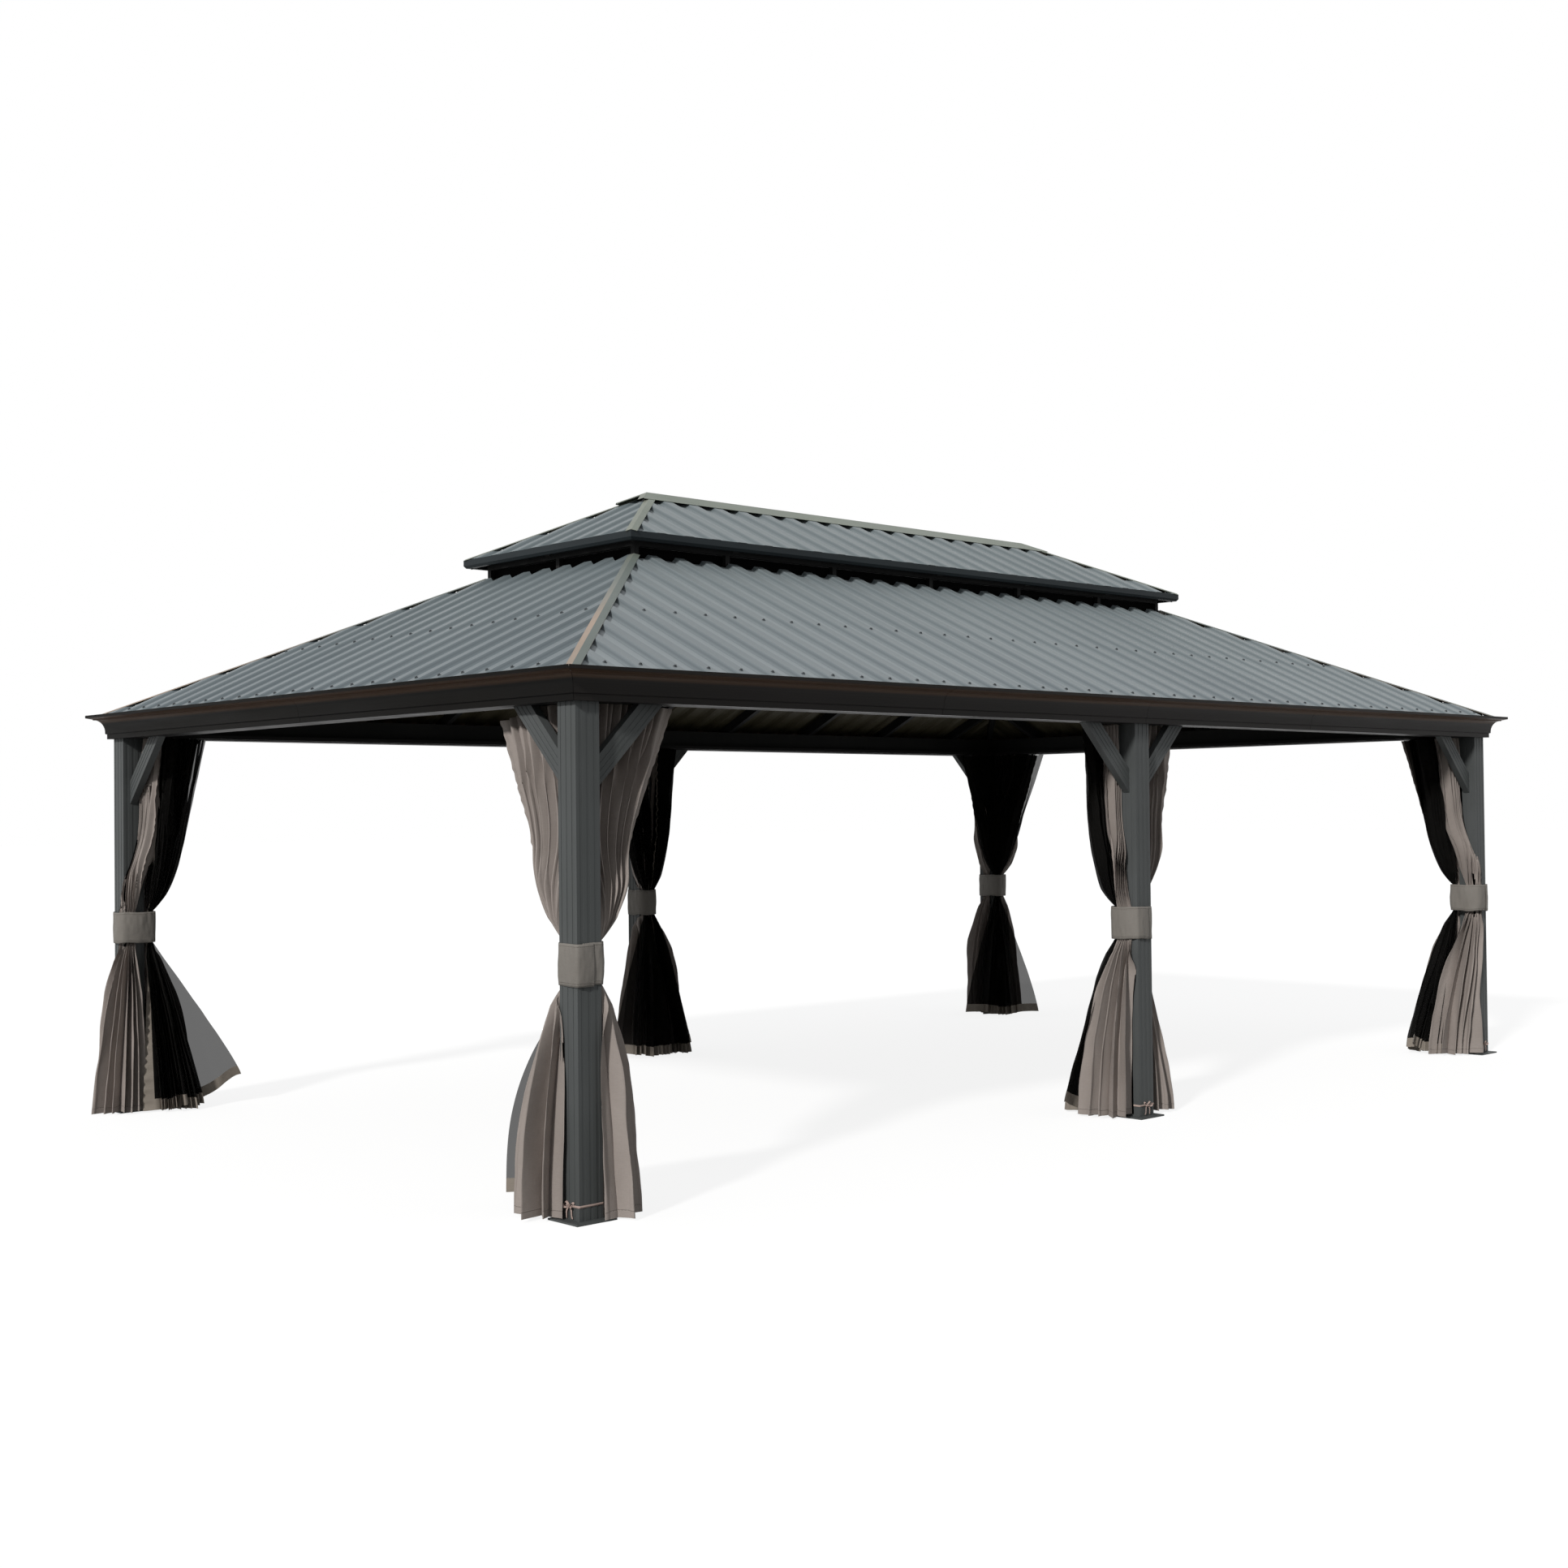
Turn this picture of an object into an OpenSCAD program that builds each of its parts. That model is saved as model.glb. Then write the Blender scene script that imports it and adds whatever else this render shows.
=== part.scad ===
// Metal gazebo: six square posts, a two-tier hipped roof of ribbed sheet, and tied-back curtains.
// Sizes are in millimetres. The ground is z = 0, X runs along the long side and the front is -Y.

/* [Frame] */
// Length over the outer faces of the corner posts
frame_length = 7500; // [7100:10:7900]
// Width over the outer faces of the corner posts
frame_width = 4350; // [4100:10:4600]
// Height of the underside of the beams above the ground
frame_height = 2095; // [2000:5:2400]
// Side of the square posts
post_size = 120; // [110:1:130]
// Wall of the posts and the beams
post_wall = 3; // [2.5:0.5:4]
// Flutes on each face of a post
flute_count = 3; // [2:1:4]
// Width of a flute
flute_width = 14; // [10:1:18]
// Depth of a flute
flute_depth = 1.5; // [1:0.1:1.8]
// Height of the beams
beam_height = 130; // [120:1:140]

/* [Feet] */
// Side of the square foot plates
foot_size = 200; // [180:1:210]
// Thickness of the foot plates
foot_thick = 8; // [5:0.5:10]
// Diameter of the anchor bolt holes
foot_hole = 12; // [10:0.5:14]
// Distance of the bolt holes from the edge of the plate
foot_hole_inset = 20; // [16:0.5:22]

/* [Cornice] */
// How far the cornice stands out from the posts
cornice_reach = 117; // [105:1:130]
// Height of the cornice
cornice_height = 135; // [125:1:145]
// How far the foot of the cornice stands out from the posts
cornice_foot = 28; // [20:1:36]
// Height of the flat face at the foot of the cornice
cornice_face = 26; // [18:1:34]
// Wall of the cornice
cornice_wall = 3; // [2:0.5:4]
// Distance between the joints of the cornice lengths
cornice_piece = 1600; // [1400:10:1700]
// Width of the open seam at a cornice joint
cornice_seam = 2; // [1:0.5:4]

/* [Braces] */
// How far a brace reaches down the post and along the beam
brace_leg = 368; // [320:1:420]
// Width of a brace
brace_width = 90; // [70:1:100]
// Thickness of a brace
brace_thick = 40; // [30:1:60]
// Width of a groove along a brace
brace_groove = 12; // [8:1:16]
// Depth of a groove along a brace
brace_groove_depth = 1.5; // [1:0.1:3]

/* [Curtain rails] */
// Width of the double rail
rail_width = 50; // [44:1:60]
// Height of the rail
rail_height = 22; // [18:1:26]
// Width of a slot in the rail
rail_slot = 10; // [6:0.5:12]

/* [Roof] */
// Pitch of both roofs in degrees
roof_angle = 25.4; // [23:0.1:28]
// Distance between the ribs of a roof sheet
rib_pitch = 185; // [170:1:200]
// Width of the crest of a rib
rib_crest = 60; // [44:1:70]
// Width of a rib at its foot
rib_foot = 100; // [86:1:120]
// Height of a rib
rib_height = 20; // [14:0.5:26]
// Thickness of the roof sheets
sheet_thick = 1; // [0.8:0.1:2]
// Ribs on one sheet
sheet_ribs = 6; // [5:1:7]
// Clearance of the sheets above the outer edge of the beams
sheet_clear = 12; // [8:0.5:20]
// How far the lower sheets end inside the lip of the cornice
sheet_edge = 60; // [50:1:75]
// Width of each flange of the hip caps
cap_flange = 32; // [26:1:44]
// Width of each flange of the ridge cap
ridge_flange = 150; // [110:1:180]
// How far the hipped ends of the ridge cap reach past the ends of the ridge
ridge_reach = 43; // [20:1:60]
// Width of the flanges that the ridge cap keeps on its hipped ends
ridge_lip = 32; // [20:1:40]
// Thickness of the caps
cap_thick = 1.5; // [1:0.1:2.5]

/* [Roof frame] */
// Distance between the rafters
rafter_pitch = 800; // [760:5:820]
// Width of the rafters
rafter_width = 40; // [30:1:50]
// Depth of the lower rafters
rafter_depth = 60; // [50:1:70]
// Depth of the upper rafters
upper_depth = 40; // [34:1:46]
// Distance of the purlin from the lip of the cornice
purlin_place = 770; // [700:10:1000]
// Width of the purlin
purlin_width = 50; // [40:1:60]
// Depth of the purlin
purlin_depth = 40; // [30:1:50]

/* [Vent] */
// Width of the vent ring, from front to back
vent_width = 1384; // [1300:4:1460]
// Height of the open vent
vent_height = 77; // [60:1:110]
// Height of the bars of the vent rings
ring_height = 40; // [34:1:60]
// Side of the uprights in the vent
upright_size = 30; // [24:1:36]
// How far the upper roof hangs over the vent ring
upper_overhang = 67; // [55:1:90]
// Height of the fascia of the upper roof
fascia_height = 46; // [40:1:56]
// Thickness of the fascia
fascia_thick = 30; // [20:1:36]
// Height of the bevel along the lower edge of the fascia
fascia_bevel = 14; // [8:1:18]

/* [Curtains] */
// Height of the lower edge of a tie band above the ground
tie_place = 947; // [850:1:1050]
// Height of a tie band
tie_height = 172; // [120:1:190]
// Thickness of a tie band
tie_thick = 3; // [2:0.5:4]
// How far the gathered cloth stands in from a post
bundle_depth = 95; // [85:1:110]
// How far the cloth of a corner spreads along its rail, from the corner of the frame
corner_spread = 600; // [520:5:680]
// How far the cloth of a middle post spreads each way along its rail
middle_spread = 325; // [260:5:400]
// Depth of the cloth at its rail
gather_depth = 66; // [56:1:70]
// Depth of the flared hem at a middle post
hem_depth = 205; // [170:1:230]
// Gap between the hems and the ground
hem_gap = 18; // [14:1:40]

/* [Hidden] */
$fn = 48;
part_gap = 0.2;
tall = 2 * frame_height;
far = 1.2 * frame_length;
slope = tan(roof_angle);
hip_angle = atan(slope / sqrt(2));
half_x = frame_length / 2;
half_y = frame_width / 2;
post_x = half_x - post_size / 2;
post_y = half_y - post_size / 2;
beam_top = frame_height + beam_height;
// Vertical depth of a sheet from its rib crests to the underside of its pans
sheet_drop = (rib_height + sheet_thick) / cos(roof_angle);
sheet_cover = sheet_ribs * rib_pitch;
sheet_lap = 0.6;
sheet_top_lap = 22;
hip_slit = 6;
eave_x = half_x + cornice_reach;
eave_y = half_y + cornice_reach;
// Height of the plane of the lower rib crests over the lip of the cornice
roof_z = beam_top + sheet_clear - slope * cornice_reach + sheet_drop;
ring_y = vent_width / 2;
// Distance from the lip of the cornice to the vent ring
vent_setback = eave_y - ring_y;
ring_x = eave_x - vent_setback;
ring_top = roof_z + slope * vent_setback - sheet_drop - part_gap;
upright_inset = sheet_top_lap + 8;
ring_width = upright_inset + upright_size;
vent_x = ring_x - upright_inset;
vent_y = ring_y - upright_inset;
upper_ring_low = ring_top + vent_height;
upper_ring_top = upper_ring_low + ring_height;
upper_x = ring_x + upper_overhang;
upper_y = ring_y + upper_overhang;
// Height of the plane of the upper rib crests over the upper eave
upper_z = upper_ring_top + part_gap + upper_depth / cos(roof_angle)
    - slope * (upper_overhang + upright_inset) + sheet_drop;
apex_x = upper_x - upper_y;
ridge_past = 30;
ridge_low = upper_z + slope * (upper_y - rafter_width / 2 - ridge_past) - sheet_drop - part_gap;
hip_inset = rafter_width / sqrt(2) + part_gap;
hip_drop = slope * rafter_width / 2 / sqrt(2) + part_gap;
upper_hip_depth = (upper_depth / cos(roof_angle) - hip_drop) * cos(hip_angle);
rail_low = frame_height + 5;
cloth_start = post_size + 4;
bundle_end = post_size + bundle_depth;
cloth_sides = 20;
bronze = "#3a322d";
slate = "#565a5b";
tin = "#868d91";
capping = "#9c9c8f";
cloth = "#9a9089";
band = "#837e78";

function run(k) = k % 2 == 0 ? half_x : half_y;
function reach(k) = k % 2 == 0 ? half_y : half_x;
function upper_run(k) = k % 2 == 0 ? upper_x : upper_y;
function upper_reach(k) = k % 2 == 0 ? upper_y : upper_x;
function soft(c) = sign(c) * pow(abs(c), 0.7);

// Turns a piece drawn for the front to a side: 0 front, 1 right, 2 back, 3 left
module side(k) {
    rotate([0, 0, 90 * k])
        children();
}

// Draws a section, width across and height up, along X
module along_x(length) {
    rotate([90, 0, 90])
        linear_extrude(length, center = true)
            children();
}

// A tall block standing on a plan outline
module over(points, low = -10) {
    translate([0, 0, low])
        linear_extrude(tall)
            polygon(points);
}

// Plan of one roof slope between two distances from its eave, kept clear of the hips
module slope_over(half, back, d0, d1, inset, low = -10) {
    over([
        [-(half - d0 - inset), -back + d0],
        [half - d0 - inset, -back + d0],
        [half - d1 - inset, -back + d1],
        [-(half - d1 - inset), -back + d1]
    ], low);
}

module post() {
    translate([0, 0, foot_thick])
        linear_extrude(frame_height - foot_thick)
            difference() {
                square(post_size, center = true);
                square(post_size - 2 * post_wall, center = true);
                for (turn = [0 : 90 : 270])
                    rotate(turn)
                        for (i = [0 : flute_count - 1])
                            translate([
                                (i - (flute_count - 1) / 2) * (post_size - 12) / flute_count,
                                -post_size / 2
                            ])
                                square([flute_width, 2 * flute_depth], center = true);
            }
}

module post_at(i, j) {
    color(slate)
        translate([i * post_x, j * post_y, 0])
            post();
}

module post_feet() {
    place = foot_size / 2 - foot_hole_inset;
    color(slate)
        for (i = [-1 : 1], j = [-1, 1])
            translate([i * post_x, j * post_y, 0])
                difference() {
                    translate([-foot_size / 2, -foot_size / 2, 0])
                        cube([foot_size, foot_size, foot_thick]);
                    for (a = [-1, 1], b = [-1, 1])
                        translate([a * place, b * place, -1])
                            cylinder(d = foot_hole, h = foot_thick + 2);
                }
}

module beam_section() {
    difference() {
        square([post_size, beam_height]);
        translate([post_wall, post_wall])
            square([post_size - 2 * post_wall, beam_height - 2 * post_wall]);
    }
}

// Front and back beams run over the corner posts and meet over the middle post
module long_beam(k) {
    piece = half_x - 0.5;
    color(slate)
        side(k)
            for (i = [-1, 1])
                translate([i * (half_x + 0.5) / 2, -half_y, frame_height])
                    along_x(piece)
                        beam_section();
}

module short_beam(k) {
    color(slate)
        side(k)
            translate([0, -half_x, frame_height])
                along_x(2 * (half_y - post_size - part_gap))
                    beam_section();
}

// Section of the cornice, a gutter with a cove below its lip, out to -X and up Y
module cornice_section() {
    w = cornice_wall;
    low = cornice_face + 10;
    high = cornice_height - 27;
    inner = cornice_foot + 8;
    outer = cornice_reach - 37;
    turns = [for (i = [0 : 9]) i * 10];
    outside = concat(
        [[0, 0], [cornice_foot, 0], [cornice_foot, cornice_face], [inner, cornice_face + 4]],
        [for (t = turns) [outer - (outer - inner) * cos(t), low + (high - low) * sin(t)]],
        [[outer + 6, high], [outer + 6, high + 4], [cornice_reach, high + 12]],
        [[cornice_reach, cornice_height]]
    );
    inside = concat(
        [[cornice_reach - w, cornice_height], [cornice_reach - w, high + 12 + w * 0.8]],
        [[outer + 6 - w, high + 4 + w], [outer + 6 - w, high + w]],
        [for (t = turns) [
            outer - (outer - inner + w) * sin(t),
            low + (high - low + w) * cos(t)
        ]],
        [[inner - w, cornice_face + 4 + w / 2], [cornice_foot - w, cornice_face + w / 2]],
        [[cornice_foot - w, w], [w, w], [w, cornice_height * 0.45], [0, cornice_height * 0.45]]
    );
    polygon([for (p = concat(outside, inside)) [-p[0], p[1]]]);
}

module cornice(k) {
    half = run(k);
    back = reach(k) + part_gap;
    joints = floor((half - 1000) / cornice_piece);
    color(bronze)
        side(k)
            difference() {
                intersection() {
                    translate([0, -back, frame_height])
                        along_x(2 * far)
                            cornice_section();
                    over([
                        [-(half - 1), -back],
                        [-(half + cornice_reach - 0.8), -back - cornice_reach - 0.2],
                        [half + cornice_reach - 0.8, -back - cornice_reach - 0.2],
                        [half - 1, -back]
                    ]);
                }
                for (i = [-joints : joints])
                    translate([i * cornice_piece - cornice_seam / 2, -far, 0])
                        cube([cornice_seam, far, tall]);
            }
}

// Outline of a brace, or of a strip of it, leaning from a post at 0 up to a beam at 0
function brace_strip(low, high, past) = [
    [-past, -brace_leg + low * sqrt(2) - past],
    [brace_leg - low * sqrt(2) + past, past],
    [brace_leg - high * sqrt(2) + past, past],
    [-past, -brace_leg + high * sqrt(2) - past]
];

module brace() {
    step = brace_width / 4;
    translate([part_gap, 0, -part_gap])
        rotate([90, 0, 0])
            difference() {
                linear_extrude(brace_thick, center = true)
                    polygon(brace_strip(0, brace_width, 0));
                for (face = [-1, 1], i = [1 : 3])
                    translate([0, 0, face * brace_thick / 2])
                        linear_extrude(2 * brace_groove_depth, center = true)
                            polygon(brace_strip(
                                i * step - brace_groove / 2, i * step + brace_groove / 2, 5
                            ));
            }
}

// Braces of one side, with a pair at the middle post of a long side
module braces(k) {
    inner = run(k) - post_size;
    middle = k % 2 == 0 ? [post_size / 2] : [];
    color(slate)
        side(k)
            translate([0, -reach(k) + post_size / 2, frame_height]) {
                for (turn = [0, 180])
                    rotate([0, 0, turn])
                        translate([-inner, 0, 0])
                            brace();
                for (x = middle, turn = [0, 180])
                    rotate([0, 0, turn])
                        translate([x, 0, 0])
                            brace();
            }
}

module rail_section() {
    difference() {
        square([rail_width, rail_height]);
        for (i = [1, 3]) {
            translate([rail_width * i / 4 - rail_slot / 2, -1])
                square([rail_slot, rail_height / 2]);
            translate([rail_width * i / 4 - rail_slot, rail_height * 0.3])
                square([2 * rail_slot, rail_height * 0.4]);
        }
    }
}

module curtain_rails() {
    color(slate)
        for (k = [0 : 3])
            side(k)
                translate([0, -reach(k) + post_size + part_gap, rail_low])
                    along_x(2 * (run(k) - post_size - part_gap - (k % 2) * (rail_width + part_gap)))
                        rail_section();
}

// A bar under one roof slope with its top against the underside of the pans
module slope_bar(x0, x1, d0, d1, depth, back, z) {
    translate([x0, -back, z - sheet_drop - part_gap])
        rotate([roof_angle, 0, 0])
            translate([0, d0 / cos(roof_angle), -depth])
                cube([x1 - x0, (d1 - d0) / cos(roof_angle), depth]);
}

function rafter_count(k) = floor((run(k) - 300) / rafter_pitch);

module rafters() {
    color(slate)
        for (k = [0 : 3])
            side(k) {
                half = run(k) + cornice_reach;
                back = reach(k) + cornice_reach;
                n = rafter_count(k);
                for (i = [-n : n])
                    intersection() {
                        slope_bar(i * rafter_pitch - rafter_width / 2,
                            i * rafter_pitch + rafter_width / 2,
                            0, vent_setback + 100, rafter_depth, back, roof_z);
                        slope_over(half, back, cornice_reach + 5, vent_setback - part_gap,
                            hip_inset, beam_top);
                    }
            }
}

module hip_rafters() {
    color(slate)
        for (i = [-1, 1], j = [-1, 1])
            intersection() {
                translate([i * eave_x, j * eave_y, roof_z - sheet_drop])
                    rotate([0, 0, atan2(-j, -i)])
                        intersection() {
                            rotate([0, -hip_angle, 0])
                                translate([0, -rafter_width / 2,
                                    -rafter_depth - hip_drop * cos(hip_angle)])
                                    cube([2 * vent_setback, rafter_width, rafter_depth]);
                            translate([0, -100, -500])
                                cube([sqrt(2) * vent_setback - part_gap, 200, tall]);
                        }
                translate([-half_x + 5, -half_y + 5, beam_top])
                    cube([frame_length - 10, frame_width - 10, tall]);
            }
}

module purlins() {
    color(slate)
        for (k = [0 : 3])
            side(k) {
                half = run(k) + cornice_reach;
                back = reach(k) + cornice_reach;
                n = rafter_count(k);
                low = purlin_place - purlin_width / 2;
                high = purlin_place + purlin_width / 2;
                for (i = [-n - 1 : n])
                    intersection() {
                        slope_bar(i * rafter_pitch + rafter_width / 2 + part_gap,
                            (i + 1) * rafter_pitch - rafter_width / 2 - part_gap,
                            low, high, purlin_depth, back, roof_z);
                        slope_over(half, back, low - 200, high + 200, hip_inset);
                    }
            }
}

// Bars of a rectangular ring, long ones through and short ones between
module ring(x, y, width, low, height) {
    for (j = [-1, 1])
        translate([-x, j * (y - width / 2) - width / 2, low])
            cube([2 * x, width, height]);
    for (i = [-1, 1])
        translate([i * (x - width / 2) - width / 2, -y + width + part_gap, low])
            cube([width, 2 * (y - width - part_gap), height]);
}

module vent_frame() {
    long = floor((ring_x - 150) / rafter_pitch);
    short = floor((ring_y - 150) / rafter_pitch);
    cx = vent_x - upright_size / 2;
    cy = vent_y - upright_size / 2;
    spots = concat(
        [for (i = [-long : long], j = [-1, 1]) [i * rafter_pitch, j * cy]],
        [for (i = [-1, 1], j = [-short : short]) [i * cx, j * rafter_pitch]],
        [for (i = [-1, 1], j = [-1, 1]) [i * cx, j * cy]]
    );
    color(slate) {
        ring(ring_x, ring_y, ring_width, ring_top - rafter_depth - 10, rafter_depth + 10);
        ring(vent_x, vent_y, upright_size, upper_ring_low, ring_height);
        for (p = spots)
            translate([p[0] - upright_size / 2, p[1] - upright_size / 2, ring_top + part_gap])
                cube([upright_size, upright_size, vent_height - 2 * part_gap]);
    }
}

// Ribbed section of one sheet, crests at 0 and pans below, drawn downwards
function rib_line(x0, x1, down) = concat(
    [[x0, rib_height + down]],
    [for (i = [0 : sheet_ribs - 1])
        for (p = [[-rib_foot / 2, rib_height], [-rib_crest / 2, 0],
                [rib_crest / 2, 0], [rib_foot / 2, rib_height]])
            [x0 + (i + 0.5) * rib_pitch - sheet_lap / 2 + p[0], p[1] + down]],
    [[x1, rib_height + down]]
);

module sheet(x0, x1, d0, d1, back, z) {
    top = rib_line(x0, x1, 0);
    under = rib_line(x0, x1, sheet_thick);
    n = len(under);
    translate([0, -back, z])
        rotate([roof_angle - 90, 0, 0])
            translate([0, 0, d0 / cos(roof_angle)])
                linear_extrude((d1 - d0) / cos(roof_angle))
                    polygon(concat(top, [for (i = [n - 1 : -1 : 0]) under[i]]));
}

module sheets(half, back, d0, d1, z) {
    n = ceil((half - d0) / sheet_cover - 0.5);
    for (i = [-n : n])
        intersection() {
            sheet((i - 0.5) * sheet_cover + sheet_lap / 2, (i + 0.5) * sheet_cover - sheet_lap / 2,
                d0 - 40, d1 + 40, back, z);
            slope_over(half, back, d0, d1, hip_slit);
        }
}

module lower_roof(k) {
    color(tin)
        side(k)
            sheets(run(k) + cornice_reach, reach(k) + cornice_reach,
                sheet_edge, vent_setback + sheet_top_lap, roof_z);
}

module upper_roof(k) {
    color(tin)
        side(k)
            sheets(upper_run(k), upper_reach(k), 4, upper_y - hip_slit - 2, upper_z);
}

// Folded section of a cap for flanges that fall at an angle each side
module cap_section(fall) {
    x = cap_flange * cos(fall);
    y = cap_flange * sin(fall);
    t = cap_thick / cos(fall);
    polygon([[-x, -y], [0, 0], [x, -y], [x, t - y], [0, t], [-x, t - y]]);
}

// A hip cap from the corner of an eave at the origin up the hip along X
module hip_cap(t0, t1) {
    start = sqrt(2) * t0 / cos(hip_angle);
    rotate([0, -hip_angle, 0])
        translate([start, 0, part_gap])
            rotate([90, 0, 90])
                linear_extrude(sqrt(2) * (t1 - t0) / cos(hip_angle))
                    cap_section(atan(sin(hip_angle)));
}

module lower_hip_caps() {
    color(capping)
        for (i = [-1, 1], j = [-1, 1])
            translate([i * eave_x, j * eave_y, roof_z])
                rotate([0, 0, atan2(-j, -i)])
                    hip_cap(sheet_edge - 4, vent_setback + sheet_top_lap);
}

// Upper hip caps are mitred to each other and to the ridge cap at the apex
module upper_hip_caps() {
    lean = tan(22.5);
    color(capping)
        for (i = [-1, 1], j = [-1, 1])
            intersection() {
                translate([i * upper_x, j * upper_y, upper_z])
                    rotate([0, 0, atan2(-j, -i)])
                        hip_cap(6, upper_y + 60);
                over([
                    [i * (apex_x + 0.4), j * 0.4],
                    [i * (apex_x + 0.4 - lean * upper_x), j * upper_x],
                    [i * far, j * upper_x],
                    [i * far, j * 0.4]
                ]);
            }
}

// A solid hipped roof over a ridge that ends at x, out to a width w each side
module hipped(x, w, high) {
    low = high - slope * w;
    polyhedron(
        points = [
            [-x - w, -w, low], [x + w, -w, low], [x + w, w, low], [-x - w, w, low],
            [-x, 0, high], [x, 0, high]
        ],
        faces = [[0, 1, 2, 3], [1, 0, 4, 5], [2, 1, 5], [3, 2, 5, 4], [0, 3, 4]]
    );
}

// The ridge cap lies over the upper ends of the hip caps: it is folded over the hips at each end,
// with a flange on the end slope that is as narrow as a hip cap's
module ridge_cap() {
    end = apex_x + ridge_reach;
    width = ridge_flange * cos(roof_angle);
    trim = 20;
    lip = ridge_lip / sqrt(2);
    thick = cap_thick / cos(roof_angle);
    high = upper_z + slope * upper_y + 2 * part_gap + 1.2 * cap_thick + thick;
    color(capping)
        intersection() {
            difference() {
                hipped(end, 2 * width, high);
                translate([0, 0, -thick])
                    hipped(end, 2 * width, high);
            }
            over([
                [-end - 2 * lip, 0],
                [-end - width + trim - lip, -width + trim + lip],
                [-end - width + trim, -width],
                [end + width - trim, -width],
                [end + width - trim + lip, -width + trim + lip],
                [end + 2 * lip, 0],
                [end + width - trim + lip, width - trim - lip],
                [end + width - trim, width],
                [-end - width + trim, width],
                [-end - width + trim - lip, width - trim - lip]
            ]);
        }
}

// Section of the upper fascia: a lip in front of the sheets and a box below them, in to X, with
// its lower edge bevelled back
module fascia_section() {
    low = upper_z - fascia_height - 1;
    box = upper_z - sheet_drop - part_gap;
    polygon([
        [0, low + fascia_bevel],
        [0.75 * fascia_bevel, low],
        [fascia_thick, low],
        [fascia_thick, box + slope * 3],
        [3, box + slope * 3],
        [3, upper_z - 1],
        [0, upper_z - 1]
    ]);
}

module upper_fascia() {
    color(bronze)
        for (k = [0 : 3])
            side(k) {
                half = upper_run(k);
                back = upper_reach(k);
                intersection() {
                    translate([0, -back, 0])
                        along_x(2 * half)
                            fascia_section();
                    slope_over(half, back, 0, 200, 0.3);
                }
            }
}

module upper_rafters() {
    tail = fascia_thick + part_gap;
    color(slate) {
        for (k = [0, 2])
            side(k) {
                n = floor((apex_x + 60) / rafter_pitch);
                for (i = [-n : n])
                    intersection() {
                        slope_bar(i * rafter_pitch - rafter_width / 2,
                            i * rafter_pitch + rafter_width / 2,
                            0, upper_y + 100, upper_depth, upper_y, upper_z);
                        slope_over(upper_x, upper_y, tail,
                            upper_y - rafter_width / 2 - part_gap, hip_inset);
                    }
            }
        for (k = [1, 3])
            side(k)
                intersection() {
                    slope_bar(-rafter_width / 2 + 2, rafter_width / 2 - 2,
                        0, upper_x, upper_depth, upper_x, upper_z);
                    over([
                        [-100, -upper_x + tail],
                        [100, -upper_x + tail],
                        [100, -apex_x - ridge_past - part_gap],
                        [-100, -apex_x - ridge_past - part_gap]
                    ]);
                }
        for (i = [-1, 1], j = [-1, 1])
            intersection() {
                translate([i * upper_x, j * upper_y, upper_z - sheet_drop])
                    rotate([0, 0, atan2(-j, -i)])
                        rotate([0, -hip_angle, 0])
                            translate([0, -rafter_width / 2,
                                -upper_hip_depth - hip_drop * cos(hip_angle)])
                                cube([upper_x, rafter_width, upper_hip_depth]);
                over([
                    [i * (upper_x - tail), j * (upper_y - tail)],
                    [i * (upper_x - tail), j * (rafter_width / 2 + part_gap)],
                    [i * 200, j * (rafter_width / 2 + part_gap)],
                    [i * 200, j * (upper_y - tail)]
                ]);
            }
        translate([-apex_x - ridge_past, -rafter_width / 2, ridge_low - 60])
            cube([2 * (apex_x + ridge_past), rafter_width, 60]);
    }
}

// Ring of points for one level of cloth: height, then the reach of the cloth each way
function cloth_ring(level) = [
    for (i = [0 : cloth_sides - 1])
        let (t = 360 * i / cloth_sides)
            [
                (level[1] + level[2]) / 2 + (level[2] - level[1]) / 2 * soft(cos(t)),
                (level[3] + level[4]) / 2 + (level[4] - level[3]) / 2 * soft(sin(t)),
                level[0]
            ]
];

// A soft gathered shape through a list of levels, from the hem up
module gathered(levels) {
    n = cloth_sides;
    m = len(levels);
    sides = [
        for (j = [0 : m - 2], i = [0 : n - 1])
            for (f = [
                [j * n + i, (j + 1) * n + (i + 1) % n, j * n + (i + 1) % n],
                [j * n + i, (j + 1) * n + i, (j + 1) * n + (i + 1) % n]
            ])
                f
    ];
    polyhedron(
        points = [for (level = levels) each cloth_ring(level)],
        faces = concat(
            [[for (i = [0 : n - 1]) i]],
            sides,
            [[for (i = [n - 1 : -1 : 0]) (m - 1) * n + i]]
        )
    );
}

tie_top = tie_place + tie_height;
cloth_top = rail_low - part_gap;
neck = post_size / 2 - 4;

// Cloth of a middle post, drawn with the outer face of the post on X
middle_levels = [
    [hem_gap, -middle_spread * 0.9, middle_spread * 0.9, cloth_start, cloth_start + hem_depth],
    [tie_place * 0.25, -middle_spread * 0.74, middle_spread * 0.74,
        cloth_start, cloth_start + hem_depth * 0.88],
    [tie_place * 0.6, -middle_spread * 0.45, middle_spread * 0.45,
        cloth_start, cloth_start + hem_depth * 0.63],
    [tie_place - 10, -neck, neck, cloth_start, bundle_end - 2],
    [tie_top + 10, -neck, neck, cloth_start, bundle_end - 2],
    [tie_top + (cloth_top - tie_top) * 0.35, -middle_spread * 0.5, middle_spread * 0.5,
        cloth_start, cloth_start + gather_depth * 1.24],
    [tie_top + (cloth_top - tie_top) * 0.7, -middle_spread * 0.86, middle_spread * 0.86,
        cloth_start, cloth_start + gather_depth * 1.1],
    [cloth_top, -middle_spread, middle_spread, cloth_start, cloth_start + gather_depth]
];

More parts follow.
